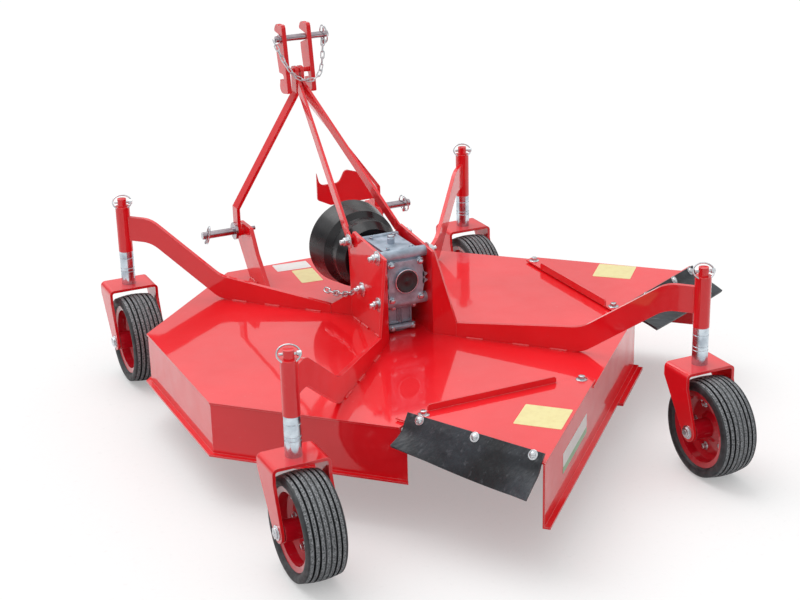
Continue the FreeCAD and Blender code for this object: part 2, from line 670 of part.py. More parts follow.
# ---- Casters and wheels ----
def fork(corner):
    """Bent plate fork with its spindle; the axle eye trails to the rear."""
    half = FORK_INNER / 2.0
    outer = [(-half - FORK_T, AXLE_Z - FORK_EYE_R, 0.0), (-half - FORK_T, FORK_TOP_Z, FORK_BEND_R),
             (half + FORK_T, FORK_TOP_Z, FORK_BEND_R), (half + FORK_T, AXLE_Z - FORK_EYE_R, 0.0),
             (half, AXLE_Z - FORK_EYE_R, 0.0), (half, FORK_TOP_Z - FORK_T, FORK_BEND_R - FORK_T),
             (-half, FORK_TOP_Z - FORK_T, FORK_BEND_R - FORK_T), (-half, AXLE_Z - FORK_EYE_R, 0.0)]
    depth = FORK_CROWN_DEPTH / 2.0
    channel = Part.Face(rounded_outline(outer)).extrude(V(0, TRAIL + FORK_EYE_R + depth, 0))
    channel.translate(V(0, -TRAIL - FORK_EYE_R, 0))
    side = leg_side().extrude(V(2 * half + 2 * FORK_T, 0, 0))
    side.translate(V(-half - FORK_T, 0, 0))
    body = channel.common(side)
    axle_hole = rod((-half - 20, -TRAIL, AXLE_Z), (half + 20, -TRAIL, AXLE_Z), AXLE_R)
    spindle = rod((0, 0, FORK_TOP_Z - FORK_T), (0, 0, SPINDLE_TOP_Z), SPINDLE_R)
    return placed(join([body.cut(axle_hole), spindle]), corner)


def leg_side():
    """Side view of a fork leg: crown edge above, round eye at the axle."""
    depth = FORK_CROWN_DEPTH / 2.0
    front_z = FORK_TOP_Z - FORK_FRONT_DROP
    rear_z = FORK_TOP_Z - FORK_REAR_DROP
    eye = V(0, -TRAIL, AXLE_Z)
    front = tangent_point((depth, front_z), 1.0)
    rear = tangent_point((-depth, rear_z), -1.0)
    bottom = eye - V(0, 0, FORK_EYE_R)
    edges = [Part.makeLine(V(0, -depth, FORK_TOP_Z), V(0, depth, FORK_TOP_Z)),
             Part.makeLine(V(0, depth, FORK_TOP_Z), V(0, depth, front_z)),
             Part.makeLine(V(0, depth, front_z), front),
             Part.Arc(front, bottom, rear).toShape(),
             Part.makeLine(rear, V(0, -depth, rear_z)),
             Part.makeLine(V(0, -depth, rear_z), V(0, -depth, FORK_TOP_Z))]
    return Part.Face(Part.Wire(edges))


def tangent_point(point, side):
    """Where a line from a (y, z) point touches the eye's circle, on the chosen side."""
    dy, dz = point[0] + TRAIL, point[1] - AXLE_Z
    distance = math.hypot(dy, dz)
    turn = math.acos(FORK_EYE_R / distance)
    angle = math.atan2(dz, dy) - side * turn
    return V(0, -TRAIL + FORK_EYE_R * math.cos(angle), AXLE_Z + FORK_EYE_R * math.sin(angle))


def placed(shape, corner):
    """Copy moved from the origin to a corner's spindle axis."""
    x, y = SPINDLES[corner]
    copy = shape.copy()
    copy.translate(V(x, y, 0))
    return copy


def spacers(corner):
    """Stack of loose height rings between the fork and the arm's tube."""
    z = FORK_TOP_Z
    top = TUBE_BOTTOM_Z - SEAT_GAP
    inner = SPINDLE_R + SPINDLE_FIT
    profile = [(inner, z), (SPACER_R, z)]
    for height in SPACER_HEIGHTS:
        z += height
        profile += [(SPACER_R, z - SPACER_GROOVE), (SPACER_R - SPACER_GROOVE, z),
                    (SPACER_R, z + SPACER_GROOVE)]
    profile += [(SPACER_R, top), (inner, top)]
    return placed(spin(profile, (0, 0, 0), (0, 0, 1)), corner)


def axle(corner):
    """Bolt through the fork's eyes with a hexagon at each end."""
    outer = FORK_INNER / 2.0 + FORK_T
    pieces = [rod((-outer - 1, -TRAIL, AXLE_Z), (outer + 1, -TRAIL, AXLE_Z), AXLE_R)]
    for side in (-1.0, 1.0):
        hexagon = [(side * outer, -TRAIL + AXLE_HEAD_R * math.cos(math.radians(60 * i)),
                    AXLE_Z + AXLE_HEAD_R * math.sin(math.radians(60 * i))) for i in range(6)]
        pieces.append(prism(hexagon, (side * AXLE_HEAD_T, 0, 0)))
    return placed(join(pieces), corner)


def rim(corner):
    """Pressed steel rim with its hub, bored for the axle."""
    half = RIM_WIDTH / 2.0
    barrel = TYRE_BORE_R
    inside = barrel - RIM_T
    hub = FORK_INNER / 2.0 - HUB_END_GAP
    side = [(AXLE_R + AXLE_FIT, hub), (HUB_R, hub), (HUB_R, HUB_WAIST), (HUB_R + RIM_FLARE, RIM_T),
            (barrel - RIM_DISH, RIM_T), (inside, HUB_WAIST + 2), (inside, half - 3), (RIM_R, half)]
    bead = [(RIM_R, half - RIM_T), (barrel, half - RIM_T - 3)]
    profile = ([(r, -x) for r, x in side + bead] + list(reversed(side + bead)))
    return placed(spin(profile, (0, -TRAIL, AXLE_Z), (1, 0, 0)), corner)


def tyre(corner):
    """Solid section tyre with a rounded shoulder and a slightly crowned tread."""
    half = TYRE_WIDTH / 2.0
    edge = RIM_WIDTH / 2.0
    side = [(TYRE_BORE_R, edge - RIM_T - 3), (RIM_R, edge - RIM_T), (RIM_R, edge),
            (RIM_R + WALL_BULGE / 2, half - 4), (RIM_R + WALL_BULGE, half),
            (TYRE_R - SHOULDER_DROP, half - 2), (TYRE_R - TYRE_CROWN, half - 7),
            (TYRE_R - 1.5, half / 2.0), (TYRE_R, half / 6.0)]
    profile = [(r, -x) for r, x in side] + list(reversed(side))
    return placed(spin(profile, (0, -TRAIL, AXLE_Z), (1, 0, 0)), corner)


# ---- Rotor ----
def carrier():
    """Hub, output shaft and flat carrier bar under the deck."""
    hub_top = DECK_TOP_Z - SPIGOT_DEPTH - HUB_GAP
    shaft_top = DECK_TOP_Z - SPIGOT_DEPTH + OUTPUT_BORE_DEPTH - 2.0
    low = CARRIER_TOP_Z - CARRIER_T
    half = CARRIER_LENGTH / 2.0
    return join([rod((0, 0, low), (0, 0, hub_top), ROTOR_HUB_R),
                 rod((0, 0, hub_top - 1), (0, 0, shaft_top), OUTPUT_R),
                 block(-CARRIER_WIDTH / 2.0, CARRIER_WIDTH / 2.0, -half, half, low, CARRIER_TOP_Z)])


def blade():
    """Forward blade: flat bar with a ground leading edge under the carrier's end."""
    top = CARRIER_TOP_Z - CARRIER_T
    half = BLADE_WIDTH / 2.0
    start = BLADE_TIP - BLADE_EDGE_LENGTH
    flat = block(-half, half, BLADE_ROOT, BLADE_TIP, top - BLADE_T, top)
    wedge = prism([(half + 1, start, top - BLADE_T + BLADE_EDGE_T), (half + 1, start, top + 1),
                   (half - BLADE_EDGE_WIDTH, start, top + 1)], (0, BLADE_EDGE_LENGTH + 1, 0))
    return flat.cut(wedge)


# ---- Linkage frame ----
def a_leg():
    """Left leg of the A-frame: from its round foot on the lower pin up between the mast's plates."""
    foot_x = -LEG_OUTER_X + LEG_T / 2.0
    foot = (foot_x, PIN_Y, PIN_Z)
    bend = (foot_x, PIN_Y, LEG_BEND_Z)
    head = (-LEG_HEAD_X, LEG_HEAD_Y, LEG_HEAD_Z)
    run = V(*head) - V(*bend)
    slope = bar(bend, head, LEG_WIDTH, LEG_T, V(0, 1, 0).cross(run))
    half = LEG_WIDTH / 2.0
    pieces = [slope, bar(foot, bend, LEG_WIDTH, LEG_T, (1, 0, 0)), leg_head(),
              rod((-LEG_OUTER_X, PIN_Y, PIN_Z), (-LEG_OUTER_X + LEG_T, PIN_Y, PIN_Z), half)]
    for x, y, z in (bend, head):
        pieces.append(rod((x, y - half, z), (x, y + half, z), LEG_T / 2.0))
    hole = rod((-PIN_TIP, PIN_Y, PIN_Z), (0, PIN_Y, PIN_Z), PIN_R)
    return join(pieces).cut(hole).cut(mast_bar())


def leg_head():
    """Leg's upright end between the mast's plates, round at the top."""
    half = LEG_WIDTH / 2.0
    outline = [(-half, LEG_HEAD_Z, 0.0), (half, LEG_HEAD_Z, 0.0), (half, LEG_TOP_Z, LEG_TOP_R),
               (-half, LEG_TOP_Z, LEG_TOP_R)]
    return plate_along(outline, (-LEG_HEAD_X, LEG_HEAD_Y), 90.0, LEG_T)


def upright():
    """Left upright: plate on edge from the deck forward to the lower pin, with a boss to the leg."""
    plate = plate_along(UPRIGHT_OUTLINE, (-UPRIGHT_OUTER_X + UPRIGHT_T / 2.0, 0.0), 90.0, UPRIGHT_T)
    leg_face = -LEG_OUTER_X + LEG_T
    boss = rod((leg_face, PIN_Y, PIN_Z), (-UPRIGHT_OUTER_X + 1.0, PIN_Y, PIN_Z), UPRIGHT_BOSS_R)
    hole = rod((leg_face - 1, PIN_Y, PIN_Z), (0, PIN_Y, PIN_Z), PIN_R)
    return join([plate, boss]).cut(hole)


def lower_pin():
    """Left lower link pin through leg and upright, with a washer outside and a nut inside."""
    inner_x = -UPRIGHT_OUTER_X + UPRIGHT_T
    return join([rod((inner_x, PIN_Y, PIN_Z), (-PIN_TIP, PIN_Y, PIN_Z), PIN_R),
                 rod((-LEG_OUTER_X, PIN_Y, PIN_Z), (-LEG_OUTER_X - PIN_WASHER_T, PIN_Y, PIN_Z),
                     PIN_WASHER_R),
                 rod((inner_x, PIN_Y, PIN_Z), (inner_x + PIN_NUT_T, PIN_Y, PIN_Z), PIN_NUT_R),
                 rod((inner_x, PIN_Y, PIN_Z), (-PIN_THREAD_END, PIN_Y, PIN_Z), PIN_THREAD_R)])


def on_plate(ahead, z):
    """Point (y, z) that lies so far ahead of a mast plate's leaning rear edge."""
    lean = MAST_LEAN * (z - MAST_BOTTOM_Z) / MAST_LENGTH
    return MAST_Y - MAST_DEPTH / 2.0 + lean + ahead, z


def mast():
    """Top link bracket: two leaning plates, each a hook above a slot, joined by a bar."""
    inner = MAST_GAP / 2.0
    side = [on_plate(ahead, MAST_BOTTOM_Z + rise) for ahead, rise in MAST_OUTLINE]
    plates = [prism([(x, y, z) for y, z in side], (MAST_T, 0, 0)) for x in (-inner - MAST_T, inner)]
    body = join(plates + [mast_bar()])
    radius = TOP_PIN_R + TOP_PIN_FIT
    top_slot = front_slot(TOP_PIN_AHEAD, TOP_PIN_Z, radius, TOP_SLOT_RISE, TOP_SLOT_DROP)
    return body.cut(top_slot).cut(front_slot(HOOK_AHEAD, HOOK_Z, HOOK_R, HOOK_R, HOOK_R))


def mast_bar():
    """Round bar from plate to plate, through the legs' heads."""
    reach = MAST_GAP / 2.0 + 1.0
    return rod((-reach, LEG_HEAD_Y, MAST_BAR_Z), (reach, LEG_HEAD_Y, MAST_BAR_Z), MAST_BAR_R)


def front_slot(ahead, z, radius, rise, drop):
    """Cutter: slot with a round end, open to the front between two heights about its axis."""
    reach = MAST_GAP / 2.0 + MAST_T + 1.0
    mouth = MAST_DEPTH + 20.0
    flare = [on_plate(ahead, z + radius), on_plate(ahead, z - radius),
             on_plate(mouth, z - drop), on_plate(mouth, z + rise)]
    wedge = prism([(-reach, y, height) for y, height in flare], (2.0 * reach, 0, 0))
    y, z = on_plate(ahead, z)
    return join([wedge, rod((-reach, y, z), (reach, y, z), radius)])


def top_pin():
    """Top link pin across the bracket, with a collar outside the left plate."""
    y, z = on_plate(TOP_PIN_AHEAD, TOP_PIN_Z)
    outer = MAST_GAP / 2.0 + MAST_T
    collar_x = -outer - 2 * TOP_PIN_FIT
    return join([rod((TOP_PIN_LEFT_X, y, z), (TOP_PIN_RIGHT_X, y, z), TOP_PIN_R),
                 rod((collar_x - TOP_PIN_COLLAR_T, y, z), (collar_x, y, z), TOP_PIN_COLLAR_R)])


def brace():
    """Left brace from the leg's head back down to the side plate's nose."""
    plate_face = PLATE_X + PLATE_T / 2.0
    foot = (-plate_face - BRACE_T / 2.0, BRACE_FOOT_Y, BRACE_FOOT_Z)
    beside = block(-plate_face, 0, 0, PLATE_NOSE_Y + 1.0, DECK_TOP_Z, PLATE_TOP_FRONT_Z + 20.0)
    leg_rear = LEG_HEAD_Y - LEG_WIDTH / 2.0
    ahead = block(-MAST_GAP / 2.0, 0, leg_rear, leg_rear + LEG_WIDTH, LEG_HEAD_Z, LEG_TOP_Z)
    return bar(BRACE_HEAD, foot, BRACE_WIDTH, BRACE_T, (1, 0, 0)).cut(ahead).cut(beside)


def drive_rest():
    """Notched plate that holds the drive shaft when the mower is parked."""
    right = REST_LEFT_X + REST_WIDTH
    notch_z = REST_TOP_Z - REST_NOTCH_DEPTH
    notch_left = REST_NOTCH_X - REST_NOTCH_R
    notch_right = REST_NOTCH_X + REST_NOTCH_R
    half_notch = REST_NOTCH_R / 2.0
    tab_top = REST_BOTTOM_Z + REST_TAB_HEIGHT
    outline = [(REST_LEFT_X, REST_BOTTOM_Z + half_notch, 8.0), (REST_LEFT_X, REST_TOP_Z, 0.0),
               (notch_left, notch_z, half_notch), (notch_right - half_notch, notch_z, half_notch),
               (notch_right, REST_TOP_Z, REST_SHOULDER_DROP),
               (notch_right + REST_NOTCH_R, REST_TOP_Z - REST_SHOULDER_DROP, REST_SHOULDER_DROP),
               (right, tab_top, 10.0), (right, REST_BOTTOM_Z, 0.0),
               (REST_LEFT_X + REST_NOTCH_R, REST_BOTTOM_Z, 8.0)]
    sheet = Part.Face(rounded_outline(outline)).extrude(V(0, REST_T, 0))
    sheet.translate(V(0, REST_Y, 0))
    inner = UPRIGHT_OUTER_X - UPRIGHT_T
    tab = block(right - 1, UPRIGHT_OUTER_X, REST_Y, REST_Y + REST_T, REST_BOTTOM_Z, tab_top)
    post = block(inner, UPRIGHT_OUTER_X, REST_Y, REST_Y + REST_POST_DEPTH, UPRIGHT_TOP_Z, tab_top)
    return join([sheet, tab, post])


# ---- Assembly ----
def assemble():
    """Every node's solid, by name."""
    nodes = {"deck_top": deck_top(), "skirt": skirt()}
    wall, cover = chute_wall(), chute_cover()
    for name, turn in (("rear", 0.0), ("right", 90.0)):
        nodes["chute_wall_" + name] = turned(wall, turn).cut(nodes["skirt"])
        nodes["chute_cover_" + name] = turned(cover, turn)
        nodes["flap_" + name] = turned(flap(FLAP_CURVES[name]), turn)
    for name, turn in (("rear", 0.0), ("right", 90.0)):
        relief = turned(flap_relief(FLAP_CURVES[name][0]), turn)
        for cut_back in ("deck_top", "skirt", "chute_wall_rear"):
            nodes[cut_back] = nodes[cut_back].cut(relief)
    nodes["skid_rear"] = skid()
    for name, shape in (("gearbox_plate", side_plate()), ("a_leg", a_leg()), ("upright", upright()),
                        ("lower_pin", lower_pin()), ("brace", brace())):
        nodes[name + "_left"] = shape
        nodes[name + "_right"] = mirrored(shape)
    nodes["gearbox"] = gearbox()
    nodes["shaft_guard"] = guard()
    nodes["input_shaft"] = input_shaft()
    nodes["top_link_bracket"] = mast()
    nodes["top_link_pin"] = top_pin()
    nodes["drive_rest"] = drive_rest()
    for corner in SPINDLES:
        nodes["arm_" + corner] = wheel_arm(corner)
        nodes["fork_" + corner] = fork(corner)
        nodes["spacers_" + corner] = spacers(corner)
        nodes["axle_" + corner] = axle(corner)
        nodes["rim_" + corner] = rim(corner)
        nodes["tyre_" + corner] = tyre(corner)
    nodes["blade_carrier"] = carrier()
    nodes["blade_front"] = blade()
    nodes["blade_rear"] = turned(blade(), 180.0)
    return nodes


def footprint_centre(nodes):
    """Plan centre of the machine's bounding box, which becomes the origin."""
    box = Part.makeCompound(list(nodes.values())).optimalBoundingBox(False, False)
    return V((box.XMin + box.XMax) / 2.0, (box.YMin + box.YMax) / 2.0, 0)


def main():
    os.makedirs("parts", exist_ok=True)
    nodes = assemble()
    centre = footprint_centre(nodes)
    for name, shape in nodes.items():
        shape.translate(centre.negative())
        shape.exportStep("parts/" + name + ".step")
        print(name, len(shape.Solids), round(shape.Volume / 1000.0, 1), shape.isValid())
    box = Part.makeCompound(list(nodes.values())).optimalBoundingBox(False, False)
    print("origin at", centre, "box", box)
    print("solid litres", round(sum(s.Volume for s in nodes.values()) / 1e6, 3))


main()
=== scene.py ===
import math

import bpy
from mathutils import Matrix, Vector


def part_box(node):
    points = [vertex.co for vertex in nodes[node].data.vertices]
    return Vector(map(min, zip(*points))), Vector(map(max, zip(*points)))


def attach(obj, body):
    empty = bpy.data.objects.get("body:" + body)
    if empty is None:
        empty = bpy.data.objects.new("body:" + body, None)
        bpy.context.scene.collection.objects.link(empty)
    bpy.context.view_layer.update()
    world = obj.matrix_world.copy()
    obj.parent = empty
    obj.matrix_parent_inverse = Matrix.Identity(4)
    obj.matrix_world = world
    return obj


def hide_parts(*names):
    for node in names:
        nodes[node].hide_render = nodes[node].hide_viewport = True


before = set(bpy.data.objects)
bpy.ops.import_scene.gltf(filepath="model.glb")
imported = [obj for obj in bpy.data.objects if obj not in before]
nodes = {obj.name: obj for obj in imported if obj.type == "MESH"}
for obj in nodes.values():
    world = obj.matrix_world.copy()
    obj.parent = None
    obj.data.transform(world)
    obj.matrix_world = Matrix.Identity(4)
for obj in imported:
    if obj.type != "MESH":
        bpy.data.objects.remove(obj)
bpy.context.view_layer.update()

# ---- Red painted steel ----
# Deck, arms, forks and hitch are welded steel plate, sprayed with one wet coat of red enamel.
# The coat is mirror-like, with faint orange peel, and its cut edges are painted pale as a highlight.
PAINTED = ("deck_top", "skirt", "chute_wall_rear", "chute_wall_right", "chute_cover_rear",
           "chute_cover_right", "skid_rear", "gearbox_plate_left", "gearbox_plate_right",
           "a_leg_left", "a_leg_right", "upright_left", "upright_right", "brace_left",
           "brace_right", "top_link_bracket", "drive_rest")
CORNERS = ("fl", "fr", "rl", "rr")


def new_finish(name):
    """An empty finish and its shader."""
    finish = bpy.data.materials.new(name)
    finish.use_nodes = True
    return finish, finish.node_tree.nodes["Principled BSDF"]


def stretched(tree, value, low, high, to_low, to_high):
    """A value stretched from low..high to the two given values."""
    spread = tree.nodes.new("ShaderNodeMapRange")
    for socket, end in (("From Min", low), ("From Max", high), ("To Min", to_low), ("To Max", to_high)):
        spread.inputs[socket].default_value = end
    tree.links.new(value, spread.inputs["Value"])
    return spread.outputs["Result"]


def mottle(finish, scale, detail, low, high, to_low, to_high):
    """Cloudy pattern fixed to the piece, stretched from low..high to the two given values."""
    tree = finish.node_tree
    place = tree.nodes.new("ShaderNodeTexCoord")
    cloud = tree.nodes.new("ShaderNodeTexNoise")
    cloud.inputs["Scale"].default_value = scale
    cloud.inputs["Detail"].default_value = detail
    tree.links.new(place.outputs["Object"], cloud.inputs["Vector"])
    return stretched(tree, cloud.outputs["Fac"], low, high, to_low, to_high)


def tint(finish, amount, base, other):
    """Colour that goes from base to other with the amount; each may be a colour or a socket."""
    tree = finish.node_tree
    mix = tree.nodes.new("ShaderNodeMix")
    mix.data_type = "RGBA"
    tree.links.new(amount, mix.inputs["Factor"])
    for socket, colour in (("A", base), ("B", other)):
        if isinstance(colour, tuple):
            mix.inputs[socket].default_value = (*colour, 1.0)
        else:
            tree.links.new(colour, mix.inputs[socket])
    return mix.outputs["Result"]


def reckoned(tree, operation, first, second):
    """A value worked with a number or with another value."""
    sum_node = tree.nodes.new("ShaderNodeMath")
    sum_node.operation = operation
    tree.links.new(first, sum_node.inputs[0])
    if isinstance(second, float):
        sum_node.inputs[1].default_value = second
    else:
        tree.links.new(second, sum_node.inputs[1])
    return sum_node.outputs["Value"]


def soft_edges(finish, radius):
    """Rounded look for sharp edges: the normal, and how far it leaves the flat face."""
    tree = finish.node_tree
    rounded = tree.nodes.new("ShaderNodeBevel")
    rounded.samples = 6
    rounded.inputs["Radius"].default_value = radius
    flat = tree.nodes.new("ShaderNodeNewGeometry")
    angle = tree.nodes.new("ShaderNodeVectorMath")
    angle.operation = "DOT_PRODUCT"
    tree.links.new(rounded.outputs["Normal"], angle.inputs[0])
    tree.links.new(flat.outputs["Normal"], angle.inputs[1])
    # The finishes use the edge amount to paint pale edge highlights.
    return rounded.outputs["Normal"], stretched(tree, angle.outputs["Value"], 0.985, 0.86, 0.0, 1.0)


def grain(finish, height, strength, distance, normal=None):
    """Bump from a height socket, laid over a normal."""
    tree = finish.node_tree
    bump = tree.nodes.new("ShaderNodeBump")
    bump.inputs["Strength"].default_value = strength
    bump.inputs["Distance"].default_value = distance
    tree.links.new(height, bump.inputs["Height"])
    if normal is not None:
        tree.links.new(normal, bump.inputs["Normal"])
    return bump.outputs["Normal"]


def red_enamel(name, deep, bright, edge_highlight_colour):
    """Glossy sprayed enamel between two reds, with painted pale edge highlights and a little dust."""
    finish, shader = new_finish(name)
    links = finish.node_tree.links
    normal, painted_edge_highlight = soft_edges(finish, 0.0016)
    colour = tint(finish, mottle(finish, 3.0, 4.0, 0.35, 0.65, 0.0, 1.0), deep, bright)
    dust = mottle(finish, 90.0, 8.0, 0.66, 0.86, 0.0, 0.22)
    colour = tint(finish, dust, colour, (0.82, 0.30, 0.30))
    # Painted highlight: the cut edges are tinted pale, standing in for light caught on them.
    edge_highlight_share = reckoned(finish.node_tree, "MULTIPLY", painted_edge_highlight, 0.7)
    links.new(tint(finish, edge_highlight_share, colour, edge_highlight_colour), shader.inputs["Base Color"])
    links.new(mottle(finish, 14.0, 6.0, 0.3, 0.7, 0.28, 0.42), shader.inputs["Roughness"])
    peel = mottle(finish, 420.0, 2.0, 0.3, 0.7, 0.0, 1.0)
    links.new(grain(finish, peel, 0.05, 0.0004, normal), shader.inputs["Normal"])
    wave = mottle(finish, 5.0, 2.0, 0.3, 0.7, 0.0, 1.0)
    links.new(grain(finish, wave, 0.05, 0.004, normal), shader.inputs["Coat Normal"])
    shader.inputs["Specular IOR Level"].default_value = 0.12
    shader.inputs["Coat Weight"].default_value = 1.0
    shader.inputs["Coat Roughness"].default_value = 0.05
    shader.inputs["Coat IOR"].default_value = 1.5
    return finish


RED = red_enamel("red_enamel", (0.84, 0.006, 0.012), (0.95, 0.014, 0.024), (0.98, 0.36, 0.36))


def dress(names, finish):
    """Gives CAD nodes a finish."""
    for name in names:
        node = nodes[name]
        node.data.materials.clear()
        node.data.materials.append(finish)


dress(PAINTED, RED)
dress([part + corner for corner in CORNERS for part in ("arm_", "fork_")], RED)

# ---- Rotor and blades ----
# A flat carrier bar under the deck swings two bolted blades, all in dark mill-scale steel.
# The rotor's own axis is the middle of the machine, and places below are measured from it.


def middle_of(node):
    """Middle of a CAD node's box."""
    low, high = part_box(node)
    return (low + high) / 2


ROTOR_X, ROTOR_Y = middle_of("blade_carrier").xy


def at(x, y, z):
    """Place x right and y forward of the rotor's axis, and z above the ground."""
    return Vector((ROTOR_X + x, ROTOR_Y + y, z))


def bare_metal(name, dark, light, rough_low, rough_high, grain_scale=160.0, grain_strength=0.12):
    """Uncoated or plated metal between two tones, with painted lighter edge highlights."""
    finish, shader = new_finish(name)
    links = finish.node_tree.links
    normal, painted_edge_highlight = soft_edges(finish, 0.0008)
    colour = tint(finish, mottle(finish, 42.0, 6.0, 0.3, 0.7, 0.0, 1.0), dark, light)
    # Painted highlight: edges are tinted lighter.
    colour = tint(finish, painted_edge_highlight, colour, tuple(min(1.0, c * 1.25) for c in light))
    links.new(colour, shader.inputs["Base Color"])
    links.new(mottle(finish, 75.0, 5.0, 0.3, 0.7, rough_low, rough_high), shader.inputs["Roughness"])
    pits = mottle(finish, grain_scale, 4.0, 0.3, 0.7, 0.0, 1.0)
    links.new(grain(finish, pits, grain_strength, 0.0006, normal), shader.inputs["Normal"])
    shader.inputs["Metallic"].default_value = 1.0
    return finish


MILL_STEEL = bare_metal("mill_steel", (0.10, 0.10, 0.11), (0.26, 0.25, 0.25), 0.35, 0.6)
dress(("blade_carrier", "blade_front", "blade_rear"), MILL_STEEL)

# ---- Tyres ----
# Each caster has a small ribbed tyre of dark rubber: seven ribs round the tread,
# with narrow grooves between them, and smooth side walls whose beads sit on the rim.
RIBS = 7
GROOVE = 0.0055
GROOVE_DEPTH = 0.007


def turned(name, rings, centre, axis, steps=48, solid=True):
    """Round piece from (distance along the axis, radius) rings, from one end to the other."""
    bpy.ops.object.select_all(action="DESELECT")
    fill = "NGON" if solid else "NOTHING"
    bpy.ops.mesh.primitive_circle_add(vertices=steps, radius=rings[0][1], fill_type=fill,
                                      location=(0, 0, 0))
    piece = bpy.context.object
    edit_all()
    bpy.ops.transform.translate(value=(0, 0, rings[0][0]))
    for (low, before), (high, after) in zip(rings, rings[1:]):
        bpy.ops.mesh.extrude_region_move(TRANSFORM_OT_translate={"value": (0, 0, high - low)})
        ratio = after / before
        bpy.ops.transform.resize(value=(ratio, ratio, 1), center_override=(0, 0, high))
    bpy.ops.mesh.select_all(action="SELECT")
    bpy.ops.mesh.remove_doubles(threshold=0.00001)
    bpy.ops.mesh.normals_make_consistent(inside=False)
    bpy.ops.object.mode_set(mode="OBJECT")
    return settle(piece, name, centre, axis)


def edit_all():
    """Opens the active piece's mesh with all of it selected."""
    bpy.ops.object.mode_set(mode="EDIT")
    bpy.ops.mesh.select_all(action="SELECT")


def pick(piece):
    """Selects one piece alone."""
    bpy.ops.object.select_all(action="DESELECT")
    piece.select_set(True)
    bpy.context.view_layer.objects.active = piece


def fix_place():
    """Moves the picked piece's place and turn into its mesh."""
    bpy.ops.object.transform_apply(location=True, rotation=True, scale=True)


def settle(piece, name, centre, axis):
    """Turns a piece made along Z to an axis, moves it to its place and fixes both in its mesh."""
    piece.name = name
    piece.data.name = name
    piece.rotation_mode = "QUATERNION"
    piece.rotation_quaternion = Vector(axis).to_track_quat("Z", "Y")
    piece.location = centre
    pick(piece)
    fix_place()
    bpy.ops.object.shade_smooth_by_angle(angle=math.radians(32))
    return piece


def twin(master, name, offset):
    """Copy of a piece with its own mesh, moved by an offset."""
    copy = master.copy()
    copy.data = master.data.copy()
    copy.name = name
    copy.data.name = name
    bpy.context.scene.collection.objects.link(copy)
    copy.location = offset
    pick(copy)
    fix_place()
    return copy


def rubber(name, dark, light, rough, scale):
    """Matt rubber with dusty patches, painted pale edge highlights and a fine moulded grain."""
    finish, shader = new_finish(name)
    links = finish.node_tree.links
    normal, painted_edge_highlight = soft_edges(finish, 0.0012)
    colour = tint(finish, mottle(finish, scale, 8.0, 0.38, 0.72, 0.0, 1.0), dark, light)
    # Painted highlight: edges are tinted lighter.
    colour = tint(finish, painted_edge_highlight, colour, tuple(c * 1.3 for c in light))
    links.new(colour, shader.inputs["Base Color"])
    links.new(mottle(finish, 60.0, 6.0, 0.3, 0.7, rough - 0.1, rough + 0.12), shader.inputs["Roughness"])
    skin = mottle(finish, 700.0, 3.0, 0.3, 0.7, 0.0, 1.0)
    links.new(grain(finish, skin, 0.22, 0.0005, normal), shader.inputs["Normal"])
    return finish


TYRE_RUBBER = rubber("tyre_rubber", (0.012, 0.013, 0.015), (0.04, 0.043, 0.05), 0.5, 55.0)
RIB_RUBBER = rubber("rib_rubber", (0.045, 0.048, 0.053), (0.46, 0.48, 0.50), 0.6, 330.0)


tyre_low, tyre_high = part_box("tyre_fl")
TYRE_R = (tyre_high.z - tyre_low.z) / 2
TYRE_HALF = (tyre_high.x - tyre_low.x) / 2
BEAD_R = TYRE_R - 0.029
SHOULDER = 0.006
CROWN = 2.4


def tread_rings():
    """Tyre section from one bead over the ribs to the other, and back under the rim's seat."""
    half = TYRE_HALF
    side = [(half - 0.010, BEAD_R), (half - 0.004, BEAD_R + 0.004), (half - 0.0005, BEAD_R + 0.012),
            (half - 0.001, TYRE_R - 0.012), (half - 0.004, TYRE_R - 0.0055)]
    rings = [(-x, r) for x, r in side]
    pitch = 2 * (half - SHOULDER) / RIBS
    for rib in range(RIBS):
        start = -half + SHOULDER + rib * pitch + GROOVE / 2
        end = start + pitch - GROOVE
        for x in (start, (start + end) / 2, end):
            rings.append((x, TYRE_R - CROWN * x * x - 0.0002))
        if rib < RIBS - 1:
            floor_r = rings[-1][1] - GROOVE_DEPTH
            rings.append((end + 0.0008, floor_r))
            rings.append((end + GROOVE - 0.0008, floor_r))
    rings += [(x, r) for x, r in reversed(side)]
    rings += [(half - 0.022, BEAD_R - 0.009), (-half + 0.022, BEAD_R - 0.009), rings[0]]
    return rings


first_hub = middle_of("tyre_fl")
first_tyre = turned("tread_fl", tread_rings(), first_hub, (1, 0, 0), steps=84, solid=False)
first_tyre.data.materials.append(TYRE_RUBBER)
first_tyre.data.materials.append(RIB_RUBBER)
for face in first_tyre.data.polygons:
    away = face.center - first_hub
    if math.hypot(away.y, away.z) > TYRE_R - 0.0045 and abs(away.x) < TYRE_HALF - SHOULDER:
        face.material_index = 1
for corner in CORNERS:
    tread = first_tyre
    if corner != "fl":
        tread = twin(first_tyre, "tread_" + corner, middle_of("tyre_" + corner) - first_hub)
    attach(tread, "wheel_" + corner)
    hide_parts("tyre_" + corner)

# ---- Rims and wheel bolts ----
# The rims are two pressed dishes in darker red, held together by five plated bolts.
# A short valve stem stands in each outer dish.
RIM_RED = red_enamel("rim_enamel", (0.50, 0.004, 0.014), (0.68, 0.008, 0.024), (0.66, 0.06, 0.08))
dress(["rim_" + corner for corner in CORNERS], RIM_RED)
ZINC = bare_metal("zinc_plate", (0.42, 0.44, 0.46), (0.74, 0.77, 0.80), 0.16, 0.36, 240.0, 0.08)


def joined(parts, name):
    """Parts made one piece."""
    bpy.ops.object.select_all(action="DESELECT")
    for part in parts:
        part.select_set(True)
    bpy.context.view_layer.objects.active = parts[0]
    if len(parts) > 1:
        bpy.ops.object.join()
    piece = bpy.context.view_layer.objects.active
    piece.name = name
    piece.data.name = name
    return piece


def fit(piece, body, finish):
    """Gives a piece its finish and puts it under its body."""
    piece.data.materials.clear()
    piece.data.materials.append(finish)
    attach(piece, body)
    return piece


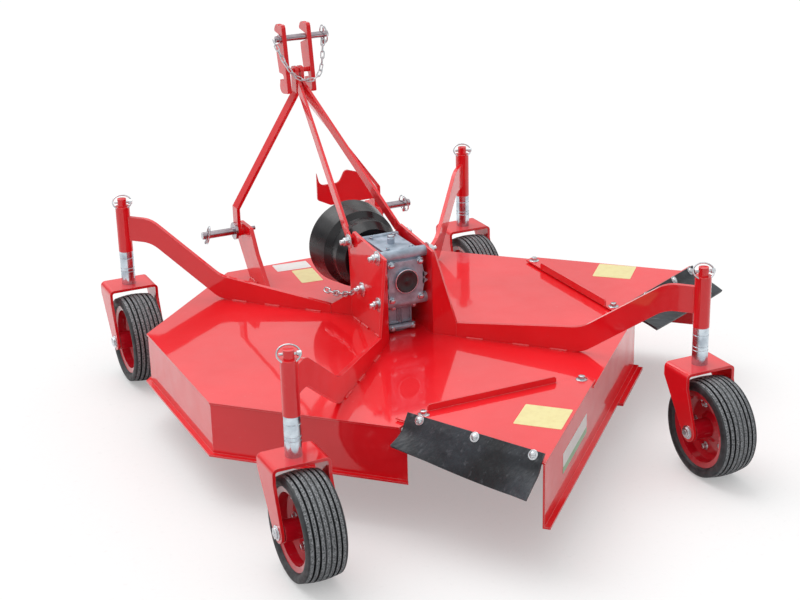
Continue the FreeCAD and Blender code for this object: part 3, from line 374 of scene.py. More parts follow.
def hex_head(name, across, height, centre, axis, washer=0.92):
    """Hexagon head or nut with a chamfered crown, on a round washer."""
    bpy.ops.object.select_all(action="DESELECT")
    bpy.ops.mesh.primitive_cylinder_add(vertices=6, radius=across / 1.732, depth=height,
                                        location=(0, 0, height / 2 + across * 0.12))
    head = bpy.context.object
    edit_all()
    bpy.ops.mesh.bevel(offset=across * 0.05, segments=2, affect="EDGES")
    bpy.ops.object.mode_set(mode="OBJECT")
    fix_place()
    under = turned(name + "_washer", [(0, across * washer), (across * 0.10, across * washer),
                                      (across * 0.13, across * (washer - 0.06)),
                                      (across * 0.13, across * 0.3)],
                   (0, 0, 0), (0, 0, 1), steps=24)
    return settle(joined([head, under], name), name, centre, axis)


def thread(name, radius, length, centre, axis):
    """Threaded end of a bolt with a chamfered tip."""
    rings = [(0, radius)]
    turns = int(length / 0.002)
    for turn in range(turns):
        z = turn * length / turns
        rings += [(z + 0.0007, radius * 0.88), (z + 0.0014, radius)]
    rings.append((length, radius * 0.78))
    return turned(name, rings, centre, axis, steps=20)


def stud_nut(name, across, stub, centre, axis):
    """Nut and washer with a threaded stub standing out of it."""
    nut = hex_head(name, across, across * 0.62, centre, axis)
    end = thread(name + "_stub", across * 0.34, across * 0.74 + stub, centre, axis)
    return joined([nut, end], name)


def one_per_corner(first, word, node_word):
    """The front left piece and its copies at the other corners, placed as the CAD nodes are."""
    pieces = {"fl": first}
    for corner in CORNERS[1:]:
        offset = middle_of(node_word + corner) - middle_of(node_word + "fl")
        pieces[corner] = twin(first, word + corner, offset)
    return pieces.items()


RIM_BOLTS = 5
RIM_BOLT_CIRCLE = 0.062
DISH_FACE = 0.0042
VALVE_RINGS = [(0, 0.005), (0.018, 0.004), (0.019, 0.003), (0.032, 0.003), (0.033, 0.002)]
parts = []
for side in (-1, 1):
    for turn in range(RIM_BOLTS):
        angle = math.radians(68 + 360 / RIM_BOLTS * turn)
        spot = first_hub + Vector((DISH_FACE * side, RIM_BOLT_CIRCLE * math.cos(angle),
                                   RIM_BOLT_CIRCLE * math.sin(angle)))
        parts.append(hex_head("rim_bolt", 0.013, 0.008, spot, (side, 0, 0)))
stem = first_hub + Vector((-0.004, 0.0, 0.072))
parts.append(turned("valve", VALVE_RINGS, stem, (-1, 0, 0.25), steps=12))
for corner, bolts in one_per_corner(joined(parts, "rim_bolts_fl"), "rim_bolts_", "tyre_"):
    fit(bolts, "wheel_" + corner, ZINC)

# ---- Axles ----
# A long plated bolt holds each wheel in its fork, with a washer under its head and nut
# and its threaded end standing out of the nut.
AXLE_R = 0.0100
AXLE_NUT = 0.026
FORK_FACE = 0.0098
axle_low, axle_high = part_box("axle_fl")
left = middle_of("axle_fl")
left.x = axle_low.x
length = axle_high.x - axle_low.x
shank = turned("shank", [(0, AXLE_R), (length - 0.004, AXLE_R), (length - 0.0035, 0.009)],
               left + Vector((0.002, 0, 0)), (1, 0, 0), steps=32)
end = thread("axle_end", 0.0088, 0.0035, left + Vector((0.0038, 0, 0)), (-1, 0, 0))
nut = hex_head("axle_nut", AXLE_NUT, 0.0052, left + Vector((FORK_FACE, 0, 0)), (-1, 0, 0), washer=0.70)
head = hex_head("axle_head", AXLE_NUT, 0.0064, left + Vector((length - FORK_FACE, 0, 0)), (1, 0, 0),
                washer=0.70)
first_axle = joined([shank, end, nut, head], "axle_bolt_fl")
for corner, bolt in one_per_corner(first_axle, "axle_bolt_", "axle_"):
    fit(bolt, "caster_" + corner, ZINC)
    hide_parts("axle_" + corner)

# ---- Spacers and spindle pins ----
# Loose turned rings set the cutting height between each fork and its arm. A lynch pin
# with an oval spring ring goes through the top of each spindle and keeps it in its tube.
BRIGHT = bare_metal("bright_steel", (0.36, 0.41, 0.47), (0.66, 0.74, 0.80), 0.12, 0.28, 300.0, 0.05)
dress(["spacers_" + corner for corner in CORNERS], BRIGHT)


def wire(name, points, radius, ring=False):
    """Round wire bent smoothly through points."""
    line = bpy.data.curves.new(name, "CURVE")
    line.dimensions = "3D"
    line.bevel_depth = radius
    line.bevel_resolution = 3
    line.resolution_u = 8
    line.use_fill_caps = not ring
    path = line.splines.new("NURBS")
    path.points.add(len(points) - 1)
    for point, place in zip(path.points, points):
        point.co = (*place, 1.0)
    path.order_u = 3
    path.use_endpoint_u = not ring
    path.use_cyclic_u = ring
    piece = bpy.data.objects.new(name, line)
    bpy.context.scene.collection.objects.link(piece)
    pick(piece)
    bpy.ops.object.convert(target="MESH")
    edit_all()
    bpy.ops.mesh.remove_doubles(threshold=0.00002)
    bpy.ops.mesh.normals_make_consistent(inside=False)
    bpy.ops.object.mode_set(mode="OBJECT")
    bpy.ops.object.shade_smooth_by_angle(angle=math.radians(40))
    return piece


def oval(name, centre, along, across, length, width, radius):
    """Closed oval ring of wire in the plane of two directions."""
    along, across = Vector(along).normalized(), Vector(across).normalized()
    points = []
    for degrees in range(0, 360, 30):
        angle = math.radians(degrees)
        points.append(centre + along * (length / 2 * math.cos(angle))
                      + across * (width / 2 * math.sin(angle)))
    return wire(name, points, radius, ring=True)


def lynch_pin(name, centre, along, ring_up):
    """Pin through a round end, with an eight-sided head and a spring ring that snaps over the end."""
    reach = 0.022
    along, ring_up = Vector(along).normalized(), Vector(ring_up).normalized()
    shank = turned(name + "_shank", [(-reach, 0.0035), (reach, 0.0035), (reach + 0.004, 0.0016)],
                   centre, along, steps=16)
    head = turned(name + "_head", [(0, 0.0055), (0.001, 0.0065), (0.011, 0.0065), (0.012, 0.0050)],
                  centre + along * (reach - 0.004), along, steps=8)
    ring = oval(name + "_ring", centre, along, ring_up.cross(along), 0.056, 0.046, 0.0022)
    return joined([shank, head, ring], name)


spindle_top = middle_of("spacers_fl")
spindle_top.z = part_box("fork_fl")[1].z - 0.011
first_pin = lynch_pin("spindle_pin_fl", spindle_top, (1, -0.35, 0), (-0.25, -0.72, 0.64))
for corner, pin in one_per_corner(first_pin, "spindle_pin_", "spacers_"):
    fit(pin, "caster_" + corner, ZINC)

# ---- Lower link and top link pins ----
# Polished hitch pins bolted through the legs and across the mast. Each has a lynch pin
# with a spring ring near its free end.
# The pins' faint purple tint is a painted reflection of the red paint round them; the grey is the steel's
# own.
PIN_STEEL = bare_metal("pin_steel", (0.30, 0.25, 0.28), (0.46, 0.41, 0.44), 0.08, 0.2, 260.0, 0.04)
dress(("lower_pin_left", "lower_pin_right", "top_link_pin"), PIN_STEEL)
for side, word in ((-1, "left"), (1, "right")):
    low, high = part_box("lower_pin_" + word)
    tip = middle_of("lower_pin_" + word)
    tip.x = low.x if side < 0 else high.x
    chamfer = turned("tip", [(-0.001, 0.0108), (0.0, 0.0108), (0.0006, 0.0102), (0.0006, 0.004)], tip,
                     (side, 0, 0), steps=32)
    pin = lynch_pin("lynch", tip - Vector((side * 0.018, 0, 0)), (0.15 * side, 0.35, -1), (side, 0.2, 0.2))
    fit(joined([pin, chamfer], "lower_lynch_pin_" + word), "frame", ZINC)
end = middle_of("top_link_pin")
end.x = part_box("top_link_pin")[1].x - 0.012
fit(lynch_pin("top_lynch_pin", end, (0.1, 0.2, -1), (1, 0.1, 0.1)), "frame", ZINC)

# ---- Chains ----
# Plated chain keeps the top pin's lynch pin with the mast, and a shorter one hangs
# from the left gearbox plate. The links are bent from wire and welded shut.


def chain_link(link, width, thickness):
    """One oval link, drawn out from a ring."""
    bpy.ops.object.select_all(action="DESELECT")
    bend = width / 2 - thickness
    bpy.ops.mesh.primitive_torus_add(major_radius=bend, minor_radius=thickness, major_segments=16,
                                     minor_segments=8)
    master = bpy.context.object
    straight = (link - width) / 2
    for side in (-1, 1):
        bpy.ops.object.mode_set(mode="EDIT")
        bpy.ops.mesh.select_all(action="DESELECT")
        bpy.ops.object.mode_set(mode="OBJECT")
        for vertex in master.data.vertices:
            vertex.select = vertex.co.x * side > 0.0001
        bpy.ops.object.mode_set(mode="EDIT")
        bpy.ops.transform.translate(value=(straight * side, 0, 0))
        bpy.ops.object.mode_set(mode="OBJECT")
    return master


def chain(name, places, link=0.027, width=0.014, thickness=0.0019):
    """Chain of oval links along a smooth line through places, every second one turned on edge."""
    line = wire(name + "_line", places, 0.0)
    steps = [vertex.co.copy() for vertex in line.data.vertices]
    bpy.data.objects.remove(line)
    master = chain_link(link, width, thickness)
    pitch = link - 4.2 * thickness  # inner length, less a little, so neighbours hook
    links = []
    gone = 0.0
    for before, after in zip(steps, steps[1:]):
        run = after - before
        while gone <= run.length:
            forward = run.normalized()
            sideways = forward.cross(Vector((0.3, 0.5, 0.8))).normalized()
            if len(links) % 2:
                sideways = forward.cross(sideways)
            piece = master.copy()
            piece.data = master.data.copy()
            bpy.context.scene.collection.objects.link(piece)
            facing = Matrix((forward, sideways, forward.cross(sideways))).transposed().to_4x4()
            piece.matrix_world = Matrix.Translation(before + forward * gone) @ facing
            links.append(piece)
            gone += pitch
        gone -= run.length
    bpy.data.objects.remove(master)
    whole = joined(links, name)
    fix_place()
    bpy.ops.object.shade_smooth()
    return whole


fit(chain("mast_chain", [at(-0.066, 0.640, 0.950), at(-0.060, 0.614, 0.922), at(-0.048, 0.594, 0.884),
                         at(-0.018, 0.586, 0.846), at(0.020, 0.586, 0.836), at(0.054, 0.592, 0.846),
                         at(0.072, 0.608, 0.888), at(0.081, 0.625, 0.930), at(0.086, 0.632, 0.944)]),
    "frame", ZINC)
fit(chain("plate_chain", [at(-0.090, 0.040, 0.372), at(-0.094, 0.070, 0.352), at(-0.104, 0.120, 0.338),
                          at(-0.116, 0.165, 0.331), at(-0.123, 0.200, 0.333)],
          link=0.032, width=0.018, thickness=0.0025), "frame", ZINC)

# ---- Gearbox ----
# Cast aluminium right-angle gearbox, as cast and a little oily, with hexagon screws
# in its cover and round its foot, and a dark rubber oil cap on the rear.
SHAFT_Z = 0.426
CAST_ALLOY = bare_metal("cast_alloy", (0.24, 0.30, 0.37), (0.48, 0.56, 0.66), 0.42, 0.6, 170.0, 0.5)
CAST_ALLOY.node_tree.nodes["Principled BSDF"].inputs["Metallic"].default_value = 0.3
dress(("gearbox",), CAST_ALLOY)
REAR_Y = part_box("gearbox")[0].y - ROTOR_Y
COVER_Y = REAR_Y + 0.006
COVER_CORNERS = [(x, z) for x in (-0.043, 0.043) for z in (0.476, 0.376)]
NECK_ROWS = ((-0.064, 0.283), (-0.070, 0.347))
FOOT_CIRCLE = 0.045
FOOT_Z = 0.2878
LID_Z = 0.5058
BREATHER_Z = 0.5198


def cast_block(name, low, high, taper, panel):
    """Cast block that narrows upwards, with a sunk panel in its rear face."""
    bpy.ops.object.select_all(action="DESELECT")
    bpy.ops.mesh.primitive_cube_add(size=1, location=(0, 0, 0))
    block = bpy.context.object
    for face in block.data.polygons:
        face.select = face.normal.z > 0.9
    bpy.ops.object.mode_set(mode="EDIT")
    bpy.ops.mesh.select_mode(type="FACE")
    bpy.ops.transform.resize(value=(taper, taper, 1))
    bpy.ops.mesh.select_all(action="SELECT")
    bpy.ops.transform.resize(value=tuple(h - l for l, h in zip(low, high)))
    bpy.ops.transform.translate(value=tuple((h + l) / 2 for l, h in zip(low, high)))
    bpy.ops.object.mode_set(mode="OBJECT")
    for face in block.data.polygons:
        face.select = face.normal.y < -0.8
    bpy.ops.object.mode_set(mode="EDIT")
    bpy.ops.mesh.inset(thickness=panel)
    bpy.ops.mesh.extrude_region_move(TRANSFORM_OT_translate={"value": (0, 0.004, 0)})
    bpy.ops.mesh.select_all(action="SELECT")
    bpy.ops.mesh.bevel(offset=0.0015, segments=2, affect="EDGES")
    bpy.ops.object.mode_set(mode="OBJECT")
    block.location = at(0, 0, 0)
    fix_place()
    block.name = name
    return block


def lug_bar(name, radius, half, y, z):
    """Round-ended bar cast across the gearbox."""
    ends = [(half - radius * 0.4, radius), (half - radius * 0.12, radius * 0.85), (half, radius * 0.55)]
    rings = [(-x, r) for x, r in reversed(ends)] + ends
    return turned(name, rings, at(0, y, z), (1, 0, 0), steps=28)


def star_point(side, rise):
    """Pointed lug that stands out from one side of the cover."""
    bpy.ops.object.select_all(action="DESELECT")
    bpy.ops.mesh.primitive_cylinder_add(vertices=3, radius=0.012, depth=0.008, location=(0, 0, 0))
    point = bpy.context.object
    edit_all()
    bpy.ops.mesh.bevel(offset=0.001, segments=2, affect="EDGES")
    bpy.ops.object.mode_set(mode="OBJECT")
    point.rotation_euler = (0, 0, math.radians(-90))
    fix_place()
    point.rotation_euler = (math.radians(90), 0 if side > 0 else math.radians(180), 0)
    point.location = at(side * 0.056, COVER_Y + 0.004, SHAFT_Z + rise * 0.009)
    fix_place()
    return point


cast = [cast_block("neck_left", (-0.036, -0.052, 0.290), (-0.002, 0.052, 0.352), 0.94, 0.006),
        cast_block("neck_right", (0.002, -0.052, 0.290), (0.036, 0.052, 0.352), 0.94, 0.006),
        cast_block("neck_rib", (-0.004, -0.058, 0.288), (0.004, 0.058, 0.354), 0.9, 0.001),
        lug_bar("foot_lug", 0.0085, 0.040, -0.056, 0.283),
        lug_bar("neck_lug", 0.0085, 0.040, -0.062, 0.347),
        lug_bar("front_lug", 0.0095, 0.056, 0.072, 0.502)]
for x, z in COVER_CORNERS:
    boss = [(-0.012, 0.0105), (0.0, 0.0105), (0.0015, 0.0092), (0.0015, 0.004)]
    cast.append(turned("corner_boss", boss, at(x, COVER_Y, z), (0, -1, 0), steps=24))
cast += [star_point(side, rise) for side in (-1, 1) for rise in (-1, 1)]
fit(joined(cast, "gearbox_castings"), "frame", CAST_ALLOY)
OIL_CAP = rubber("oil_cap", (0.010, 0.010, 0.012), (0.030, 0.030, 0.034), 0.35, 60.0)
cap_rings = [(-0.001, 0.0310), (0.003, 0.0310), (0.0045, 0.0295), (0.0045, 0.022), (0.0035, 0.020),
             (0.0035, 0.006), (0.0042, 0.004)]
fit(turned("oil_cap", cap_rings, at(0, REAR_Y + 0.0005, SHAFT_Z), (0, -1, 0)),
    "frame", OIL_CAP)
seat_rings = [(-0.001, 0.0345), (0.0018, 0.0345), (0.003, 0.0335), (0.003, 0.0316), (0.001, 0.0312)]
screws = [turned("oil_cap_ring", seat_rings, at(0, REAR_Y, SHAFT_Z), (0, -1, 0))]
for x, z in COVER_CORNERS:
    spot = at(x, COVER_Y - 0.0012, z)
    screws.append(hex_head("cover_screw", 0.013, 0.008, spot, (0, -1, 0), washer=0.7))
for y, z in NECK_ROWS:
    for x in (-0.031, 0.031):
        screws.append(hex_head("neck_screw", 0.011, 0.006, at(x, y, z), (0, -1, 0), washer=0.7))
for degrees in range(30, 390, 60):
    angle = math.radians(degrees)
    spot = at(FOOT_CIRCLE * math.cos(angle), FOOT_CIRCLE * math.sin(angle), FOOT_Z)
    screws.append(hex_head("foot_screw", 0.013, 0.008, spot, (0, 0, 1), washer=0.7))
screws.append(hex_head("breather", 0.017, 0.007, at(0, 0, BREATHER_Z), (0, 0, 1), washer=0.6))
for y in (-0.055, 0.055):
    for x in (-0.034, 0.034):
        screws.append(hex_head("lid_screw", 0.010, 0.006, at(x, y, LID_Z), (0, 0, 1), washer=0.75))
fit(joined(screws, "gearbox_screws"), "frame", BRIGHT)

# ---- Gearbox plate bolts ----
# Plated bolts clamp each side plate to the gearbox, and one more holds each brace.
# Their nuts are outside, with the threaded ends standing out.
PLATE_FACE = 0.074
PLATE_NUTS = ((-0.072, 0.497, 0.0), (-0.072, 0.364, 0.0), (0.098, 0.496, 0.008), (0.035, 0.374, 0.0))
for side, word in ((-1, "left"), (1, "right")):
    nuts = []
    for y, z, out in PLATE_NUTS:
        spot = at(side * (PLATE_FACE + out - 0.0002), y, z)
        nuts.append(stud_nut("plate_nut", 0.022, 0.010, spot, (side, 0, 0)))
    fit(joined(nuts, "plate_bolts_" + word), "frame", ZINC)

# ---- Drive shaft guard and input shaft ----
# The guard is a stepped bell of glossy black plastic round the splined steel stub
# that a tractor's drive shaft slides onto.


def glossy_plastic(name, dark, light, edge_highlight_colour):
    """Moulded black plastic with a soft shine and painted paler edge highlights."""
    finish, shader = new_finish(name)
    links = finish.node_tree.links
    normal, painted_edge_highlight = soft_edges(finish, 0.0014)
    colour = tint(finish, mottle(finish, 22.0, 6.0, 0.4, 0.75, 0.0, 1.0), dark, light)
    # Painted highlight: edges are tinted paler.
    links.new(tint(finish, painted_edge_highlight, colour, edge_highlight_colour), shader.inputs["Base Color"])
    links.new(mottle(finish, 30.0, 6.0, 0.3, 0.7, 0.22, 0.36), shader.inputs["Roughness"])
    skin = mottle(finish, 500.0, 3.0, 0.3, 0.7, 0.0, 1.0)
    links.new(grain(finish, skin, 0.06, 0.0004, normal), shader.inputs["Normal"])
    shader.inputs["IOR"].default_value = 1.42
    shader.inputs["Coat Weight"].default_value = 0.12
    shader.inputs["Coat Roughness"].default_value = 0.10
    return finish


GUARD_PLASTIC = glossy_plastic("guard_plastic", (0.006, 0.006, 0.008), (0.016, 0.017, 0.020),
                               (0.09, 0.09, 0.10))
dress(("shaft_guard",), GUARD_PLASTIC)
SHAFT_STEEL = bare_metal("shaft_steel", (0.34, 0.34, 0.35), (0.58, 0.58, 0.59), 0.2, 0.4, 200.0, 0.08)
shaft_low, shaft_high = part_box("input_shaft")
shaft_start = at(0, shaft_low.y - ROTOR_Y, SHAFT_Z)
shaft_length = shaft_high.y - shaft_low.y
SPLINES = 6
SPLINE_LENGTH = shaft_length - 0.052
stub = turned("stub", [(0, 0.020), (0.045, 0.020), (0.046, 0.0148), (shaft_length - 0.030, 0.0148),
                       (shaft_length - 0.029, 0.0138), (shaft_length - 0.023, 0.0138),
                       (shaft_length - 0.022, 0.0148), (shaft_length - 0.003, 0.0148),
                       (shaft_length, 0.0128)], shaft_start, (0, 1, 0))
splines = [stub]
for turn in range(SPLINES):
    bpy.ops.object.select_all(action="DESELECT")
    bpy.ops.mesh.primitive_cube_add(size=1, location=(0, 0, 0))
    tooth = bpy.context.object
    edit_all()
    bpy.ops.transform.resize(value=(0.0084, 0.0060, SPLINE_LENGTH))
    bpy.ops.transform.translate(value=(0, 0.0143, 0.046 + SPLINE_LENGTH / 2))
    bpy.ops.mesh.bevel(offset=0.0007, segments=2, affect="EDGES")
    bpy.ops.object.mode_set(mode="OBJECT")
    tooth.rotation_euler = (0, 0, math.radians(360 / SPLINES * turn))
    fix_place()
    splines.append(settle(tooth, "spline", shaft_start, (0, 1, 0)))
shaft = fit(joined(splines, "splined_shaft"), "input_drive", SHAFT_STEEL)
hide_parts("input_shaft")

# ---- Rubber flaps ----
# Thick black rubber sheets, creased and scuffed, are clamped to the covers' outer
# flanges by round-headed bolts on wide washers.


def streaks(finish, stretch, scale, low, high, to_low, to_high):
    """Mottle drawn out along one direction."""
    amount = mottle(finish, scale, 6.0, low, high, to_low, to_high)
    cloud = amount.node.inputs["Value"].links[0].from_node
    place = cloud.inputs["Vector"].links[0].from_node
    drawn = finish.node_tree.nodes.new("ShaderNodeMapping")
    drawn.inputs["Scale"].default_value = stretch
    drawn.inputs["Rotation"].default_value = (0.3, 0.0, math.radians(-63))
    finish.node_tree.links.new(place.outputs["Object"], drawn.inputs["Vector"])
    finish.node_tree.links.new(drawn.outputs["Vector"], cloud.inputs["Vector"])
    return amount


def creased_rubber(name, dark, light, scuff, edge_highlight_colour):
    """Stiff sheet rubber with drawn-out wrinkles, pale scuffs and painted pale edge highlights."""
    finish, shader = new_finish(name)
    links = finish.node_tree.links
    normal, painted_edge_highlight = soft_edges(finish, 0.0012)
    colour = tint(finish, mottle(finish, 9.0, 7.0, 0.42, 0.72, 0.0, 1.0), dark, light)
    colour = tint(finish, streaks(finish, (1.0, 7.0, 5.0), 14.0, 0.60, 0.74, 0.0, 0.55), colour, scuff)
    # Painted highlight: edges are tinted pale.
    links.new(tint(finish, painted_edge_highlight, colour, edge_highlight_colour), shader.inputs["Base Color"])
    links.new(mottle(finish, 25.0, 6.0, 0.3, 0.7, 0.38, 0.56), shader.inputs["Roughness"])
    wrinkles = streaks(finish, (1.0, 6.0, 4.0), 9.0, 0.3, 0.7, 0.0, 1.0)
    links.new(grain(finish, wrinkles, 0.55, 0.004, normal), shader.inputs["Normal"])
    return finish


FLAP_RUBBER = creased_rubber("flap_rubber", (0.012, 0.014, 0.017), (0.040, 0.048, 0.060),
                             (0.16, 0.17, 0.19), (0.12, 0.125, 0.135))
dress(("flap_rear", "flap_right"), FLAP_RUBBER)
# The rear mouth's near end at the flap, the way along it, and the way its flange faces. The
# right mouth is the same, a quarter turn round the rotor.
MOUTH_NEAR = Vector((-0.251, -0.606, 0.2909))
MOUTH_RUN = Vector((0.4512, -0.8924, 0.0))
FLANGE_FACE = Vector((-0.743, -0.376, 0.555))


def flap_bolts(name, places, quarter):
    """Dome-headed bolts on wide washers along a flap, turned a quarter for the right flap."""
    dome = [(-0.001, 0.0125), (0.0014, 0.0125), (0.0019, 0.0119), (0.0019, 0.0085),
            (0.0040, 0.0080), (0.0062, 0.0062), (0.0073, 0.0035), (0.0076, 0.0010)]
    parts = []
    for along in places:
        spot = MOUTH_NEAR + MOUTH_RUN * along
        face = FLANGE_FACE
        if quarter:
            spot = Vector((-spot.y, spot.x, spot.z))
            face = Vector((-face.y, face.x, face.z))
        parts.append(turned(name, dome, at(*spot), face, steps=28))
    fit(joined(parts, name), "frame", ZINC)


flap_bolts("flap_bolts_rear", (0.040, 0.200, 0.361), False)
flap_bolts("flap_bolts_right", (0.104, 0.264, 0.361), True)

# ---- Chute cover bolts ----
# Zinc-plated hexagon bolts on wide washers, two to each chute cover, hold the covers'
# inner corners to the deck.
COVER_BOLT_Z = 0.2779
COVER_BOLTS = ((-0.198, -0.592), (0.246, -0.592))
for word, quarter in (("rear", False), ("right", True)):
    parts = []
    for x, y in COVER_BOLTS:
        spot = (-y, x, COVER_BOLT_Z) if quarter else (x, y, COVER_BOLT_Z)
        parts.append(hex_head("cover_bolt", 0.015, 0.009, at(*spot), (0, 0, 1), washer=1.0))
    fit(joined(parts, "cover_bolts_" + word), "frame", ZINC)

# ---- Welds ----
# Short rippled stitch welds join the arms, gearbox plates and uprights to the deck. They
# are sprayed over with the same red enamel.


def weld_bead(name, start, end):
    """Rippled bead of weld between two points."""
    start, end = Vector(start), Vector(end)
    length = (end - start).length
    ripples = int(length / 0.0036)
    rings = [(0.0, 0.0018)]
    for ripple in range(ripples):
        z = (ripple + 0.5) * length / ripples
        rings += [(z - 0.0011, 0.0040), (z + 0.0006, 0.0043), (z + 0.0014, 0.0036)]
    rings.append((length, 0.0018))
    return turned(name, rings, start, end - start, steps=14)


WELD_Z = 0.2705
ARM_WELD = 0.047
PLATE_WELD = 0.046
UPRIGHT_X = 0.2158
for corner in CORNERS:
    spindle = middle_of("spacers_" + corner)
    side = -1 if corner[1] == "l" else 1
    reach = 1 if corner[0] == "f" else -1
    inner = at(side * 0.070, reach * 0.115, 0)
    run = Vector((inner.x - spindle.x, inner.y - spindle.y, 0)).normalized()
    across = Vector((-run.y, run.x, 0)) * 0.0068
    beads = []
    for start in (0.350, 0.455, 0.585):
        for face in (-1, 1):
            near = Vector((spindle.x, spindle.y, WELD_Z)) + run * start + across * face
            beads.append(weld_bead("bead", near, near + run * ARM_WELD))
    fit(joined(beads, "arm_welds_" + corner), "frame", RED)
for side, word in ((-1, "left"), (1, "right")):
    beads = []
    for face, places in ((PLATE_FACE + 0.0008, (-0.094, -0.002, 0.050)), (UPRIGHT_X, (0.420, 0.492))):
        for y in places:
            beads.append(weld_bead("bead", at(side * face, y, WELD_Z),
                                   at(side * face, y + PLATE_WELD, WELD_Z)))
    fit(joined(beads, "plate_welds_" + word), "frame", RED)

# ---- Blank labels ----
# Plain vinyl labels stuck to the paint: one yellow on each cover, one yellow and one white
# at the front of the deck, and a white strip with a green lower edge on the rear chute's
# wall.


def vinyl(name, base, aged):
    """Satin vinyl film, faintly yellowed and scuffed."""
    finish, shader = new_finish(name)
    links = finish.node_tree.links
    links.new(tint(finish, mottle(finish, 60.0, 6.0, 0.45, 0.75, 0.0, 1.0), base, aged),
              shader.inputs["Base Color"])
    links.new(mottle(finish, 40.0, 5.0, 0.3, 0.7, 0.28, 0.42), shader.inputs["Roughness"])
    links.new(grain(finish, mottle(finish, 260.0, 3.0, 0.3, 0.7, 0.0, 1.0), 0.05, 0.0004),
              shader.inputs["Normal"])
    shader.inputs["Coat Weight"].default_value = 0.5
    shader.inputs["Coat Roughness"].default_value = 0.1
    return finish


YELLOW = vinyl("yellow_vinyl", (0.90, 0.80, 0.36), (0.84, 0.72, 0.30))
WHITE = vinyl("white_vinyl", (0.90, 0.92, 0.90), (0.82, 0.86, 0.83))
GREEN = vinyl("green_vinyl", (0.20, 0.52, 0.26), (0.26, 0.56, 0.32))


def label(name, length, height, centre, normal, turn, finish):
    """Thin rectangle of film with rounded corners."""
    bpy.ops.object.select_all(action="DESELECT")
    bpy.ops.mesh.primitive_plane_add(size=1, location=(0, 0, 0))
    film = bpy.context.object
    edit_all()
    bpy.ops.transform.resize(value=(length, height, 1))
    bpy.ops.mesh.bevel(offset=0.004, segments=4, affect="VERTICES")
    bpy.ops.mesh.select_all(action="SELECT")
    bpy.ops.mesh.extrude_region_move(TRANSFORM_OT_translate={"value": (0, 0, 0.0006)})
    bpy.ops.mesh.select_all(action="SELECT")
    bpy.ops.mesh.normals_make_consistent(inside=False)
    bpy.ops.object.mode_set(mode="OBJECT")
    film.rotation_euler = (0, 0, math.radians(turn))
    fix_place()
    settle(film, name, centre, normal)
    film.data.materials.clear()
    film.data.materials.append(finish)
    return film


COVER_Z = 0.2780
DECK_Z = 0.2700
for name, length, height, spot, turn, film in (
        ("cover_label_rear", 0.118, 0.116, (0.049, -0.739, COVER_Z), -45, YELLOW),
        ("cover_label_right", 0.112, 0.112, (0.752, 0.046, COVER_Z), -43, YELLOW),
        ("deck_label", 0.066, 0.116, (-0.058, 0.482, DECK_Z), -6, YELLOW),
        ("deck_strip", 0.108, 0.062, (-0.068, 0.582, DECK_Z), -5, WHITE)):
    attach(label(name, length, height, at(*spot), (0, 0, 1), turn, film), "frame")
wall_film = [label("upper", 0.240, 0.036, at(0.129, -0.755, 0.206), (1, -1, 0), 0, WHITE),
             label("lower", 0.240, 0.017, at(0.129, -0.755, 0.1795), (1, -1, 0), 0, GREEN)]
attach(joined(wall_film, "wall_label"), "frame")

# ---- Camera, floor and light ----
# The mower stands on a pale floor in open shade, seen from behind and to its left. The
# light is an even sky, darker near the ground, and a broad soft sun from high in front.


def rays_of(tree, kinds):
    """1 for rays of any of the Light Path kinds, and 0 for the others."""
    path = tree.nodes.new("ShaderNodeLightPath")
    found = path.outputs[kinds[0]]
    for kind in kinds[1:]:
        found = reckoned(tree, "MAXIMUM", found, path.outputs[kind])
    return found


CAMERA_PLACE = at(-1.737, -3.772, 1.912)
YAW = math.radians(25.015)
PITCH = math.radians(20.734)
ROLL = math.radians(-1.412)
view = Vector((math.sin(YAW) * math.cos(PITCH), math.cos(YAW) * math.cos(PITCH), -math.sin(PITCH)))
level = view.cross(Vector((0, 0, 1))).normalized()
upward = level.cross(view)
right = math.cos(ROLL) * level + math.sin(ROLL) * upward
above = -math.sin(ROLL) * level + math.cos(ROLL) * upward
lens = bpy.data.cameras.new("camera")
lens.lens = 72.5
lens.sensor_width = 36.0
camera = bpy.data.objects.new("camera", lens)
facing = Matrix((right, above, -view)).transposed().to_4x4()
camera.matrix_world = Matrix.Translation(CAMERA_PLACE) @ facing
bpy.context.scene.collection.objects.link(camera)
bpy.context.scene.camera = camera
bpy.context.scene.view_settings.view_transform = "Standard"

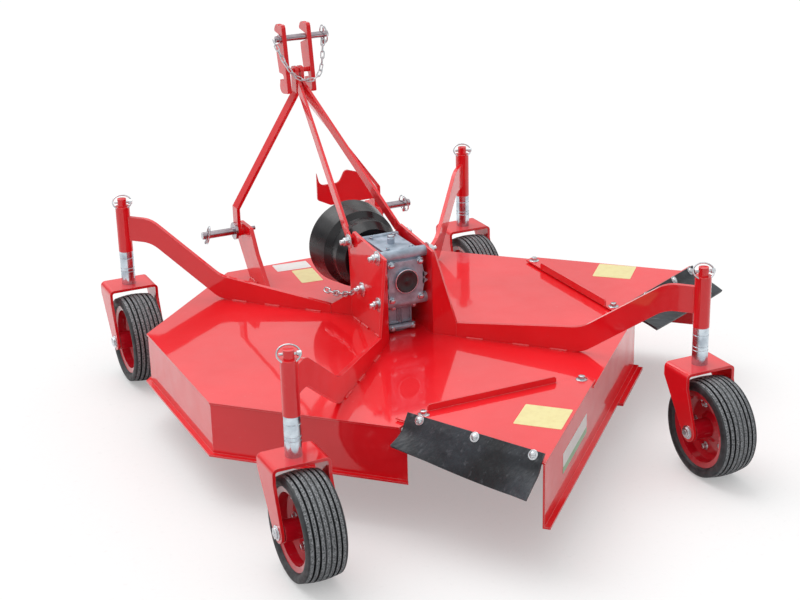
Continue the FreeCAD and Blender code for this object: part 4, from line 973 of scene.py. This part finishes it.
PALE = (0.97, 0.97, 0.97)
DUSTY = (0.86, 0.86, 0.86)
SOFT_BOUNCE = (0.50, 0.50, 0.50)
BLEACHED_SHARE = 0.34
bpy.ops.object.select_all(action="DESELECT")
bpy.ops.mesh.primitive_plane_add(size=40, location=(0, 0, 0))
floor = bpy.context.object
floor.name = "floor"
ground, ground_shader = new_finish("pale_floor")
concrete = ground.node_tree
swept = tint(ground, mottle(ground, 60.0, 10.0, 0.60, 0.75, 0.0, 0.5), PALE, DUSTY)
seen = rays_of(concrete, ("Is Camera Ray", "Is Glossy Ray", "Is Transmission Ray"))
concrete.links.new(tint(ground, seen, SOFT_BOUNCE, swept), ground_shader.inputs["Base Color"])
ground_shader.inputs["Roughness"].default_value = 0.9
ground_shader.inputs["Specular IOR Level"].default_value = 0.1
bleached = concrete.nodes.new("ShaderNodeEmission")
blend = concrete.nodes.new("ShaderNodeMixShader")
share = reckoned(concrete, "MULTIPLY", rays_of(concrete, ("Is Camera Ray",)), BLEACHED_SHARE)
concrete.links.new(share, blend.inputs["Fac"])
concrete.links.new(ground_shader.outputs["BSDF"], blend.inputs[1])
concrete.links.new(bleached.outputs["Emission"], blend.inputs[2])
concrete.links.new(blend.outputs["Shader"], concrete.nodes["Material Output"].inputs["Surface"])
floor.data.materials.append(ground)

MIRRORED_SKY = (0.20, 0.45, 0.35, 1.0)
SKYLIGHT = (0.0, 1.0, 0.38, 0.94)
world = bpy.data.worlds.new("open_shade")
bpy.context.scene.world = world
world.use_nodes = True
air = world.node_tree
sky = air.nodes["Background"]
sky.inputs["Color"].default_value = (1, 1, 1, 1)
heading = air.nodes.new("ShaderNodeTexCoord")
height = air.nodes.new("ShaderNodeSeparateXYZ")
air.links.new(heading.outputs["Generated"], height.inputs["Vector"])
mirrored_sky = stretched(air, height.outputs["Z"], *MIRRORED_SKY)
mirrored_sky.node.interpolation_type = "SMOOTHSTEP"
for_gloss = air.nodes.new("ShaderNodeMix")
air.links.new(stretched(air, height.outputs["Z"], *SKYLIGHT), for_gloss.inputs["A"])
air.links.new(rays_of(air, ("Is Glossy Ray",)), for_gloss.inputs["Factor"])
air.links.new(mirrored_sky, for_gloss.inputs["B"])
for_camera = air.nodes.new("ShaderNodeMix")
air.links.new(rays_of(air, ("Is Camera Ray", "Is Transmission Ray")), for_camera.inputs["Factor"])
air.links.new(for_gloss.outputs["Result"], for_camera.inputs["A"])
for_camera.inputs["B"].default_value = 1.0
air.links.new(for_camera.outputs["Result"], sky.inputs["Strength"])

sun_data = bpy.data.lights.new("soft_sun", "SUN")
sun_data.energy = 1.2
sun_data.angle = math.radians(50)
sun = bpy.data.objects.new("soft_sun", sun_data)
sun.rotation_euler = (math.radians(-28), math.radians(-10), 0)
bpy.context.scene.collection.objects.link(sun)
